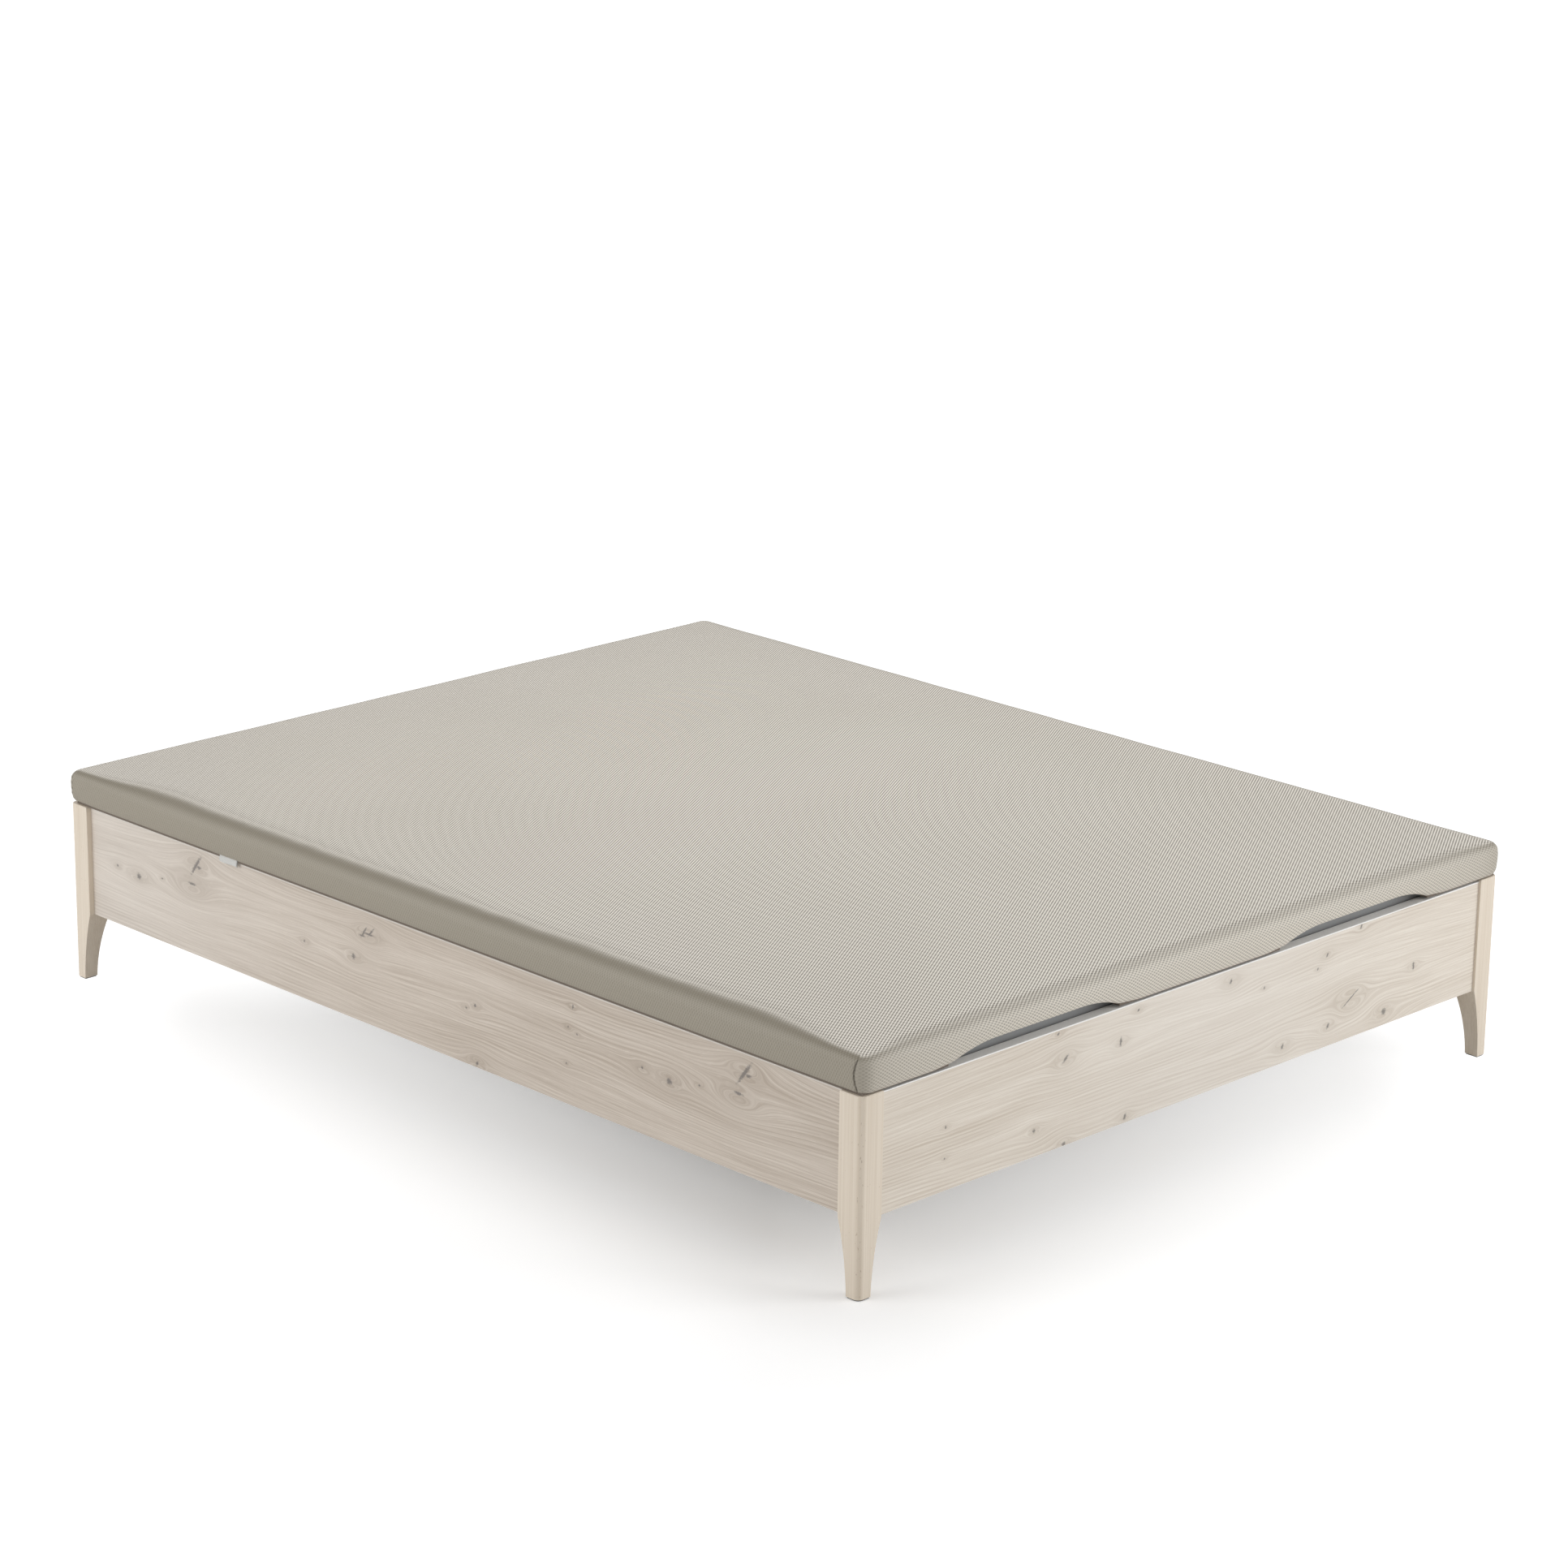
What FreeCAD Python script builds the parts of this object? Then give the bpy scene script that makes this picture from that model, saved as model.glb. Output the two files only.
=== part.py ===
import FreeCAD, Part
import math
import os

# Lift-up storage bed base, in millimetres.
# X runs across the bed, Y along it with the head end at +Y, Z up.
# The origin is on the floor under the centre.

Vec = FreeCAD.Vector
LEFT = -1
RIGHT = 1
FOOT = -1
HEAD = 1
SIDES = {"left": LEFT, "right": RIGHT}
ENDS = {"foot": FOOT, "head": HEAD}

# Overall size, over the corner posts
base_width = 1500.0
base_length = 1900.0
overrun = 5.0
seat_gap = 0.3
running_clearance = 0.05

# Corner legs
post_size = 45.0
post_rise = 3.0
post_corner_radius = 10.0
post_top_chamfer = 1.0
foot_width = 25.5
taper_mid_width = 32.5
taper_mid_height_share = 0.57
glide_thickness = 2.0
glide_inset = 1.5

# Boards of the box
floor_clearance = 122.0
panel_height = 191.0
panel_thickness = 19.0
side_recess = 10.0
end_recess = 4.5
edge_band_thickness = 2.0
dowel_radius = 4.0
dowel_length = 50.0
side_dowel_height_shares = (0.25, 0.75)
end_dowel_height_shares = (0.15, 0.60)

# Corner blocks and their screws
block_width = 30.0
block_rise = 3.0
block_top_gap = 9.0
hinge_block_margin = 8.0
screw_radius = 2.0
screw_head_radius = 4.0
screw_head_height = 1.6
screw_bite = 13.0
block_screw_height_shares = (0.2, 0.8)

# Floor of the box
cleat_size = 25.0
cleat_screw_count = 6
floor_thickness = 8.0
floor_board_count = 4
floor_board_gap = 1.0
beam_width = 45.0
centre_leg_radius = 20.0
centre_leg_foot_radius = 14.0

# Lid cover, foam and board
lid_gap = 5.5
lid_thickness = 53.5
lid_overhang = 6.0
lid_corner_radius = 25.0
lid_rim_radius = 18.0
lid_tuck_radius = 11.0
lid_side_bulge = 0.8
cover_side = 8.0
cover_top = 3.0
cover_lip_thickness = 2.5
cover_lip_width = 20.0
foam_thickness = 17.0
board_thickness = 8.0
vent_radius = 22.0
vent_flange = 6.0
vent_flange_thickness = 1.5
vent_wall = 2.0

# Finger recesses in the foot side of the lid
recess_centre = 378.0
recess_foot_half_length = 183.0
recess_top_half_length = 93.0
recess_height = 18.0
recess_lining = 2.0

# Strips under the lid that rest on the posts
strip_width = 14.0
strip_inset = 5.0
strip_recess_margin = 5.0
head_strip_width = 8.0
head_strip_setback = 1.5

# Sewn tab on the left side
tab_length = 46.0
tab_thickness = 1.0
tab_height = 13.0
tab_setback = 4.0
tab_y = 516.0

# Steel tube frame of the lid
tube_width = 25.0
tube_height = 45.0
tube_wall = 1.5
crossbar_count = 3
end_tube_setback = 7.0
frame_screw_bite = 6.0
side_tube_screw_count = 5
end_tube_screw_count = 4

# Lift hinge and gas struts
plate_thickness = 3.0
arm_thickness = 4.0
hinge_board_gap = 1.5
hinge_setback = 12.0
hinge_eye_radius = 9.0
hinge_pin_radius = 5.0
pin_head_radius = 8.0
pin_head_height = 3.0
plate_edge = 26.0
plate_foot_gap = 3.0
plate_rest_gap = 1.5
strut_radius = 180.0
strut_stud_edge = 11.0
strut_tube_radius = 10.0
strut_tube_wall = 1.5
strut_side_gap = 3.0
strut_end_gap = 7.0
strut_rod_radius = 4.0
strut_rod_end_gap = 46.0
strut_gland_length = 9.0
strut_eye_radius = 9.0
strut_eye_thickness = 10.0
strut_neck_radius = 6.0
strut_neck_start = 13.0
stud_radius = 4.0
stud_cap_radius = 6.5
stud_cap_height = 2.5
stud_side_gap = 0.4
arm_height = 18.0
arm_tail = 16.0
arm_bolt_radius = 3.0
arm_bolt_head_radius = 5.5
arm_bolt_head_height = 3.2
arm_bolt_shares = (0.3, 0.55, 0.8)
plate_screw_shares = (0.25, 0.50, 0.75)

# Places worked out from the sizes above
half_width = base_width / 2
half_length = base_length / 2
panel_top = floor_clearance + panel_height
core_top = panel_top - edge_band_thickness
post_height = panel_top + post_rise
side_outer = half_width - side_recess
side_inner = side_outer - panel_thickness
end_outer = half_length - end_recess
end_inner = end_outer - panel_thickness
post_inner_x = half_width - post_size
post_inner_y = half_length - post_size
cleat_top = floor_clearance + cleat_size
floor_top = cleat_top + floor_thickness
block_bottom = floor_top + block_rise
block_top = panel_top - block_top_gap
block_height = block_top - block_bottom

lid_bottom = post_height + lid_gap
lid_top = lid_bottom + lid_thickness
lid_half_width = half_width + lid_overhang
lid_half_length = half_length + lid_overhang
inner_half_width = lid_half_width - cover_side
inner_half_length = lid_half_length - cover_side
inner_radius = lid_corner_radius - cover_side
lip_half_width = inner_half_width - cover_lip_width
lip_half_length = inner_half_length - cover_lip_width
rim_bottom = lid_bottom + cover_lip_thickness
foam_top = lid_top - cover_top
board_top = foam_top - foam_thickness
board_bottom = board_top - board_thickness

hinge_y = half_length - hinge_setback
hinge_height = board_bottom - hinge_board_gap - hinge_eye_radius
plate_outer_x = post_inner_x
plate_inner_x = plate_outer_x - plate_thickness
strut_x = plate_inner_x - strut_side_gap - strut_tube_radius
arm_outer_x = strut_x - strut_tube_radius - strut_side_gap
tube_outer_x = arm_outer_x - arm_thickness
tube_inner_x = tube_outer_x - tube_width
tube_bottom = board_bottom - tube_height
end_tube_outer_y = lip_half_length - end_tube_setback
head_rim_half_length = tube_inner_x
plate_bottom = block_bottom + plate_foot_gap
lower_stud_z = plate_bottom + strut_stud_edge
lower_stud_y = hinge_y - math.sqrt(strut_radius ** 2 - (hinge_height - lower_stud_z) ** 2)
plate_front_y = lower_stud_y - plate_edge
plate_back_y = post_inner_y - plate_rest_gap
hinge_block_front_y = plate_front_y - hinge_block_margin
upper_stud_y = hinge_y - strut_radius
upper_stud_z = hinge_height
strut_rest_length = math.hypot(upper_stud_y - lower_stud_y, upper_stud_z - lower_stud_z)
strut_tube_length = strut_rest_length - 2 * strut_neck_start - strut_end_gap
strut_rod_length = strut_rest_length - strut_rod_end_gap

os.makedirs("parts", exist_ok=True)


def block(x_span, y_span, z_span):
    """Box between the two values of each span, given in either order."""
    low = Vec(min(x_span), min(y_span), min(z_span))
    high = Vec(max(x_span), max(y_span), max(z_span))
    size = high - low
    return Part.makeBox(size.x, size.y, size.z, low)


def rod(radius, start, end):
    """Round bar from one point to another."""
    along = end - start
    return Part.makeCylinder(radius, along.Length, start, along)


def place(shape, side, end):
    """Shape drawn at the right head corner, mirrored to the corner that the signs name."""
    origin = Vec(0, 0, 0)
    if side == LEFT:
        shape = shape.mirror(origin, Vec(1, 0, 0))
    if end == FOOT:
        shape = shape.mirror(origin, Vec(0, 1, 0))
    return shape


def corners():
    """Every corner as its end name, side name and the two signs."""
    return [(e, s, ENDS[e], SIDES[s]) for e in ENDS for s in SIDES]


def prism(points, direction):
    """Solid of a closed polygon pushed along a direction."""
    wire = Part.makePolygon(points + points[:1])
    return Part.Face(wire).extrude(direction)


def group(shapes):
    """Separate solids held in one node."""
    return Part.Compound(shapes)


def vertical_edges(shape):
    """Edges that run straight up."""
    found = []
    for edge in shape.Edges:
        span = edge.BoundBox
        if span.ZLength > max(span.XLength, span.YLength) and len(edge.Vertexes) == 2:
            found.append(edge)
    return found


def rounded_block(half_x, half_y, z_low, z_high, radius):
    """Block about the Z axis with its four upright edges rounded."""
    shape = block((-half_x, half_x), (-half_y, half_y), (z_low, z_high))
    return shape.makeFillet(radius, vertical_edges(shape))


def screw(start, direction, length):
    """Round-headed screw; start is under its head and direction is the way it is driven in."""
    way = Vec(direction)
    way.normalize()
    shank = rod(screw_radius, start, start + way * length)
    head = rod(screw_head_radius, start, start - way * screw_head_height)
    return shank.fuse(head).removeSplitter()


def evenly(low, high, count):
    """Places spread evenly inside a span, clear of its two ends."""
    return [low + (number + 1) * (high - low) / (count + 1) for number in range(count)]


def drill(shape, holes):
    """Shape with the shanks of its screws, dowels or pins cut out of it."""
    for hole in holes:
        shape = shape.cut(hole)
    return shape


nodes = {}
side_tube_y = (-end_tube_outer_y + tube_width, end_tube_outer_y - tube_width)
crossbar_places = evenly(*side_tube_y, crossbar_count)


# Fasteners of the box

def dowels_at(sign_end, sign_side):
    """Dowels between one post and the two panels that butt against it."""
    pegs = []
    side_mid = (side_outer + side_inner) / 2
    end_mid = (end_outer + end_inner) / 2
    half = dowel_length / 2
    for share in side_dowel_height_shares:
        z = floor_clearance + share * panel_height
        start = Vec(side_mid, post_inner_y - half, z)
        pegs.append(rod(dowel_radius, start, start + Vec(0, dowel_length, 0)))
    for share in end_dowel_height_shares:
        z = floor_clearance + share * panel_height
        start = Vec(post_inner_x - half, end_mid, z)
        pegs.append(rod(dowel_radius, start, start + Vec(dowel_length, 0, 0)))
    return [place(peg, sign_side, sign_end) for peg in pegs]


def side_block(inner_y):
    """Block between a post and a side board; the one at the head end is longer and carries a hinge plate."""
    return block((post_inner_x, side_inner), (inner_y, post_inner_y), (block_bottom, block_top))


def end_block():
    x_span = (post_inner_x - block_width, post_inner_x)
    return block(x_span, (post_inner_y, end_inner), (block_bottom, block_top))


def block_screws_at(sign_end, sign_side):
    """Screws that hold the blocks of one corner to the panels."""
    driven = []
    for share in block_screw_height_shares:
        z = block_bottom + share * block_height
        if sign_end == FOOT:
            y = post_inner_y - block_width / 2
            length = side_inner - post_inner_x + screw_bite
            driven.append(screw(Vec(post_inner_x, y, z), Vec(1, 0, 0), length))
        x = post_inner_x - block_width / 2
        length = end_inner - post_inner_y + screw_bite
        driven.append(screw(Vec(x, post_inner_y, z), Vec(0, 1, 0), length))
    return [place(one, sign_side, sign_end) for one in driven]


dowels = [peg for e, s, ye, xs in corners() for peg in dowels_at(ye, xs)]
block_screws = [one for e, s, ye, xs in corners() for one in block_screws_at(ye, xs)]


# Lift hinge: fixed plate, pin and lower stud, drawn on the right

def hinge_pin():
    start = Vec(tube_outer_x - stud_side_gap, hinge_y, hinge_height)
    end = Vec(plate_outer_x, hinge_y, hinge_height)
    step = Vec(pin_head_height, 0, 0)
    shaft = rod(hinge_pin_radius, start, end)
    inner_head = rod(pin_head_radius, start - step, start)
    outer_head = rod(pin_head_radius, end, end + step)
    return shaft.fuse([inner_head, outer_head]).removeSplitter()


def plate_screws():
    """Two columns of screws through the plate and the hinge block, clear of the dowels behind them."""
    edge = 2 * screw_head_radius
    length = side_inner - plate_inner_x + screw_bite
    driven = []
    for share in plate_screw_shares:
        z = plate_bottom + share * (block_top - plate_bottom)
        for y in (plate_front_y + edge, post_inner_y - dowel_length / 2 - edge):
            driven.append(screw(Vec(plate_inner_x, y, z), Vec(1, 0, 0), length))
    return driven


def lower_stud():
    """Stud on the fixed plate that carries the strut's lower eye."""
    cap_x = strut_x - strut_eye_thickness / 2 - stud_side_gap
    start = Vec(plate_outer_x, lower_stud_y, lower_stud_z)
    end = Vec(cap_x, lower_stud_y, lower_stud_z)
    step = Vec(stud_cap_height, 0, 0)
    shaft = rod(stud_radius, start, end)
    cap = rod(stud_cap_radius, end, end - step)
    collar_end = Vec(strut_x + strut_eye_thickness / 2 + stud_side_gap, lower_stud_y, lower_stud_z)
    collar = rod(stud_cap_radius, Vec(plate_inner_x, lower_stud_y, lower_stud_z), collar_end)
    return shaft.fuse([cap, collar]).removeSplitter()


def hinge_plate():
    """Flat steel plate up the hinge block, reaching back over the head board to the hinge pin."""
    neck_low = post_height + plate_rest_gap
    eye_top = hinge_height + hinge_eye_radius
    eye_bottom = hinge_height - hinge_eye_radius
    slope = (plate_back_y - plate_front_y) / 2
    outline = [
        (plate_front_y, plate_bottom),
        (plate_back_y, plate_bottom),
        (plate_back_y, neck_low),
        (hinge_y, eye_bottom),
        (hinge_y, eye_top),
        (plate_back_y - slope, eye_top),
        (plate_front_y, eye_top - slope),
    ]
    points = [Vec(plate_inner_x, y, z) for y, z in outline]
    plate = prism(points, Vec(plate_thickness, 0, 0))
    low = Vec(plate_inner_x, hinge_y, hinge_height)
    eye = rod(hinge_eye_radius, low, low + Vec(plate_thickness, 0, 0))
    plate = plate.fuse(eye).removeSplitter()
    return drill(plate, [hinge_pin(), lower_stud()] + plate_screws())


# The box: legs, boards, blocks, floor

def taper_cut(reach):
    """What the sweep takes off one inner face, drawn outwards from the outer face along X."""
    heights = floor_clearance - glide_thickness
    mid_height = glide_thickness + taper_mid_height_share * heights
    top = Vec(post_size, 0, floor_clearance)
    middle = Vec(taper_mid_width, 0, mid_height)
    low = Vec(foot_width, 0, glide_thickness)
    under = Vec(foot_width, 0, glide_thickness - overrun)
    under_out = Vec(post_size + overrun, 0, glide_thickness - overrun)
    top_out = Vec(post_size + overrun, 0, floor_clearance)
    sweep = Part.Arc(top, middle, low).toShape()
    sides = Part.makePolygon([low, under, under_out, top_out, top]).Edges
    face = Part.Face(Part.Wire([sweep] + sides))
    return face.extrude(Vec(0, reach, 0))


def leg():
    """Leg drawn with its outer corner at the origin and its inner faces towards +X and +Y."""
    post = block((0, post_size), (0, post_size), (glide_thickness, post_height))
    outer_edge = [e for e in vertical_edges(post) if e.CenterOfMass.x + e.CenterOfMass.y < post_size / 2]
    post = post.makeFillet(post_corner_radius, outer_edge)
    top_edges = [e for e in post.Edges if e.BoundBox.ZMin > post_height - post_top_chamfer]
    post = post.makeChamfer(post_top_chamfer, top_edges)
    cut = taper_cut(post_size)
    return post.cut(cut).cut(cut.mirror(Vec(0, 0, 0), Vec(1, -1, 0)))


def glide():
    """Plastic pad under one foot, in the leg's own drawing."""
    span = (glide_inset, foot_width - glide_inset)
    pad = block(span, span, (0, glide_thickness))
    outer_edge = [e for e in vertical_edges(pad) if e.CenterOfMass.x + e.CenterOfMass.y < foot_width / 2]
    return pad.makeFillet(post_corner_radius - glide_inset, outer_edge)


def at_corner(shape, sign_side, sign_end):
    """Leg drawing turned to face inwards at one corner."""
    origin = Vec(0, 0, 0)
    shape = shape.mirror(origin, Vec(1, 0, 0)).mirror(origin, Vec(0, 1, 0))
    shape = shape.translated(Vec(half_width, half_length, 0))
    return place(shape, sign_side, sign_end)


for end_name, side_name, end_sign, side_sign in corners():
    nodes["leg_" + end_name + "_" + side_name] = drill(at_corner(leg(), side_sign, end_sign), dowels)
glides = [at_corner(glide(), side_sign, end_sign) for e, s, end_sign, side_sign in corners()]
glides.append(rod(centre_leg_foot_radius, Vec(0, 0, 0), Vec(0, 0, glide_thickness)))
nodes["leg_glides"] = group(glides)

plate_fasteners = [place(one, side, HEAD) for side in SIDES.values() for one in plate_screws()]
cleat_mid = floor_clearance + cleat_size / 2
cleat_screws = []
for side_sign in SIDES.values():
    for y in evenly(-post_inner_y, post_inner_y, cleat_screw_count):
        start = Vec(side_sign * (side_inner - cleat_size), y, cleat_mid)
        cleat_screws.append(screw(start, Vec(side_sign, 0, 0), cleat_size + screw_bite))
end_cleat_half = side_inner - cleat_size
for end_sign in ENDS.values():
    for x in evenly(-end_cleat_half, end_cleat_half, cleat_screw_count):
        start = Vec(x, end_sign * (end_inner - cleat_size), cleat_mid)
        cleat_screws.append(screw(start, Vec(0, end_sign, 0), cleat_size + screw_bite))

panel_fixings = dowels + block_screws + cleat_screws + plate_fasteners
edge_bands = []
for side_name, side_sign in SIDES.items():
    span = (side_sign * side_inner, side_sign * side_outer)
    long_way = (-post_inner_y, post_inner_y)
    panel = block(span, long_way, (floor_clearance, core_top))
    nodes["side_board_" + side_name] = drill(panel, panel_fixings)
    edge_bands.append(block(span, long_way, (core_top, panel_top)))
for end_name, end_sign in ENDS.items():
    span = (end_sign * end_inner, end_sign * end_outer)
    long_way = (-post_inner_x, post_inner_x)
    panel = block(long_way, span, (floor_clearance, core_top))
    nodes[end_name + "_board"] = drill(panel, panel_fixings)
    edge_bands.append(block(long_way, span, (core_top, panel_top)))
nodes["board_edge_bands"] = group(edge_bands)
nodes["board_dowels"] = group(dowels)

corner_blocks = []
for end_name, side_name, end_sign, side_sign in corners():
    if end_sign == HEAD:
        hinge_block = place(side_block(hinge_block_front_y), side_sign, HEAD)
        studs = [place(lower_stud(), side_sign, HEAD)]
        nodes["hinge_block_" + side_name] = drill(hinge_block, plate_fasteners + studs)
    else:
        foot_block = side_block(post_inner_y - block_width)
        corner_blocks.append(drill(place(foot_block, side_sign, FOOT), block_screws))
    corner_blocks.append(drill(place(end_block(), side_sign, end_sign), block_screws))
nodes["corner_blocks"] = group(corner_blocks)
nodes["corner_block_screws"] = group(block_screws)

for side_name, side_sign in SIDES.items():
    x_span = (side_sign * (side_inner - cleat_size), side_sign * side_inner)
    cleat = block(x_span, (-post_inner_y, post_inner_y), (floor_clearance, cleat_top))
    nodes["floor_cleat_" + side_name] = drill(cleat, cleat_screws)
for end_name, end_sign in ENDS.items():
    y_span = (end_sign * (end_inner - cleat_size), end_sign * end_inner)
    cleat = block((-end_cleat_half, end_cleat_half), y_span, (floor_clearance, cleat_top))
    nodes["floor_cleat_" + end_name] = drill(cleat, cleat_screws)
nodes["floor_cleat_screws"] = group(cleat_screws)

beam_half = end_inner - cleat_size
beam_x = (-beam_width / 2, beam_width / 2)
nodes["floor_beam"] = block(beam_x, (-beam_half, beam_half), (floor_clearance, cleat_top))
foot_end = Vec(0, 0, glide_thickness)
nodes["centre_leg"] = Part.makeCone(
    centre_leg_foot_radius, centre_leg_radius, floor_clearance - glide_thickness, foot_end)

board_pitch = 2 * (end_inner - floor_board_gap) / floor_board_count
post_hole_x = post_inner_x - floor_board_gap
post_hole_y = post_inner_y - floor_board_gap
for number in range(floor_board_count):
    y_low = -(end_inner - floor_board_gap) + number * board_pitch
    y_span = (y_low, y_low + board_pitch - floor_board_gap)
    x_reach = side_inner - floor_board_gap
    board = block((-x_reach, x_reach), y_span, (cleat_top, floor_top))
    for end_name, side_name, end_sign, side_sign in corners():
        x_cut = (side_sign * post_hole_x, side_sign * half_width)
        y_cut = (end_sign * post_hole_y, end_sign * half_length)
        board = board.cut(block(x_cut, y_cut, (cleat_top - overrun, floor_top + overrun)))
    nodes["floor_panel_" + str(number + 1)] = board

nodes["hinge_plate_left"] = place(hinge_plate(), LEFT, HEAD)
nodes["hinge_plate_right"] = hinge_plate()
nodes["hinge_plate_screws"] = group(plate_fasteners)
nodes["hinge_pins"] = group([place(hinge_pin(), side, HEAD) for side in SIDES.values()])
nodes["strut_lower_studs"] = group([place(lower_stud(), side, HEAD) for side in SIDES.values()])


# The lid: cover, foam, board, rims, strips, frame

def recess_outline(raise_by):
    """Finger recess seen from the foot end: a level top that curves down at both ends, as a face on y = 0."""
    low = lid_bottom + raise_by
    high = low + recess_height
    base = lid_bottom - overrun
    run = recess_foot_half_length - recess_top_half_length
    radius = (run * run + recess_height * recess_height) / (2 * recess_height)
    half_turn = math.asin(run / radius) / 2
    mid_x = recess_top_half_length + radius * math.sin(half_turn)
    mid_z = high - radius * (1 - math.cos(half_turn))
    edges = []
    for sign in (LEFT, RIGHT):
        start = Vec(sign * recess_foot_half_length, 0, low)
        finish = Vec(sign * recess_top_half_length, 0, high)
        edges.append(Part.Arc(start, Vec(sign * mid_x, 0, mid_z), finish).toShape())
        edges.append(Part.makeLine(Vec(sign * recess_foot_half_length, 0, base), start))
    for half, z in ((recess_top_half_length, high), (recess_foot_half_length, base)):
        edges.append(Part.makeLine(Vec(-half, 0, z), Vec(half, 0, z)))
    return Part.Face(Part.Wire(Part.__sortEdges__(edges)))


def recess_cut(centre_x, y_span, raise_by):
    """Solid of one finger recess between two places along the bed."""
    face = recess_outline(raise_by)
    face.translate(Vec(centre_x, min(y_span), 0))
    return face.extrude(Vec(0, max(y_span) - min(y_span), 0))


def cover_section(axis, angle):
    """Half section of the cover from an upright axis out to its side, at an angle about that axis."""
    out = Vec(math.cos(angle), math.sin(angle), 0)
    reach = lid_corner_radius
    side = reach - lid_side_bulge
    diagonal_share = 1 - math.sqrt(0.5)

    def at(radius, z):
        return axis + out * radius + Vec(0, 0, z)

    tuck_end = at(side, lid_bottom + lid_tuck_radius)
    rim_start = at(side, lid_top - lid_rim_radius)
    tuck_mid = at(side - diagonal_share * (lid_tuck_radius - lid_side_bulge),
                  lid_bottom + diagonal_share * lid_tuck_radius)
    rim_mid = at(side - diagonal_share * (lid_rim_radius - lid_side_bulge),
                 lid_top - diagonal_share * lid_rim_radius)
    side_mid = at(reach, (lid_bottom + lid_tuck_radius + lid_top - lid_rim_radius) / 2)
    bottom_out = at(reach - lid_tuck_radius, lid_bottom)
    top_out = at(reach - lid_rim_radius, lid_top)
    edges = [
        Part.makeLine(at(0, lid_bottom), bottom_out),
        Part.Arc(bottom_out, tuck_mid, tuck_end).toShape(),
        Part.Arc(tuck_end, side_mid, rim_start).toShape(),
        Part.Arc(rim_start, rim_mid, top_out).toShape(),
        Part.makeLine(top_out, at(0, lid_top)),
        Part.makeLine(at(0, lid_top), at(0, lid_bottom)),
    ]
    return Part.Face(Part.Wire(edges))


def cover_outside():
    """Closed outside form of the cover: tucked bottom edge, swelling sides and a rolled top rim."""
    x = lid_half_width - lid_corner_radius
    y = lid_half_length - lid_corner_radius
    quarter = math.pi / 2
    pieces = [block((-x, x), (-y, y), (lid_bottom, lid_top))]
    centres = [Vec(x, y, 0), Vec(-x, y, 0), Vec(-x, -y, 0), Vec(x, -y, 0)]
    for number, centre in enumerate(centres):
        section = cover_section(centre, number * quarter)
        pieces.append(section.revolve(centre, Vec(0, 0, 1), math.degrees(quarter)))
        pieces.append(section.extrude(centres[number - 1] - centre))
    return pieces[0].fuse(pieces[1:]).removeSplitter()


def lid_cover():
    """Fabric cover over the foam and rims, turned in under them, with two finger recesses at the foot."""
    cover = cover_outside()
    cover = cover.cut(rounded_block(inner_half_width, inner_half_length, rim_bottom, foam_top, inner_radius))
    lip_cut = (lid_bottom - overrun, rim_bottom + overrun)
    cover = cover.cut(block((-lip_half_width, lip_half_width), (-lip_half_length, lip_half_length), lip_cut))
    for side_sign in SIDES.values():
        x_span = (side_sign * head_rim_half_length, side_sign * lip_half_width)
        cover = cover.cut(block(x_span, (lip_half_length - overrun, inner_half_length), lip_cut))
        centre = side_sign * recess_centre
        through = (-lid_half_length - overrun, -lip_half_length + overrun)
        wall = (-inner_half_length, -lip_half_length)
        lining = recess_cut(centre, wall, recess_lining).cut(recess_cut(centre, through, 0))
        lining = lining.common(block((-half_width, half_width), through, (lid_bottom, board_bottom)))
        cover = cover.fuse(lining).cut(recess_cut(centre, through, 0))
    return cover.removeSplitter()


def vent_places():
    """Two vents each side of the middle, halfway between an end tube and the crossbar next to it."""
    y = (side_tube_y[1] + crossbar_places[-1]) / 2
    return [Vec(x, end * y, 0) for x in (-tube_inner_x / 2, tube_inner_x / 2) for end in ENDS.values()]


def vent(centre):
    """Flanged air vent pressed up into the lid board."""
    body = rod(vent_radius, centre + Vec(0, 0, board_bottom), centre + Vec(0, 0, board_top))
    flange_low = centre + Vec(0, 0, board_bottom - vent_flange_thickness)
    flange = rod(vent_radius + vent_flange, flange_low, centre + Vec(0, 0, board_bottom))
    bore_low = centre + Vec(0, 0, board_bottom - vent_flange_thickness - overrun)
    bore = rod(vent_radius - vent_wall, bore_low, centre + Vec(0, 0, board_top - vent_wall))
    return body.fuse(flange).cut(bore).removeSplitter()


nodes["lid_cover"] = lid_cover()
nodes["lid_foam"] = rounded_block(inner_half_width, inner_half_length, board_top, foam_top, inner_radius)
lid_board = rounded_block(inner_half_width, inner_half_length, board_bottom, board_top, inner_radius)
for centre in vent_places():
    hole_low = centre + Vec(0, 0, board_bottom)
    lid_board = lid_board.cut(rod(vent_radius, hole_low, hole_low + Vec(0, 0, board_thickness)))
nodes["lid_board"] = lid_board
nodes["lid_air_vents"] = group([vent(centre) for centre in vent_places()])

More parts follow.
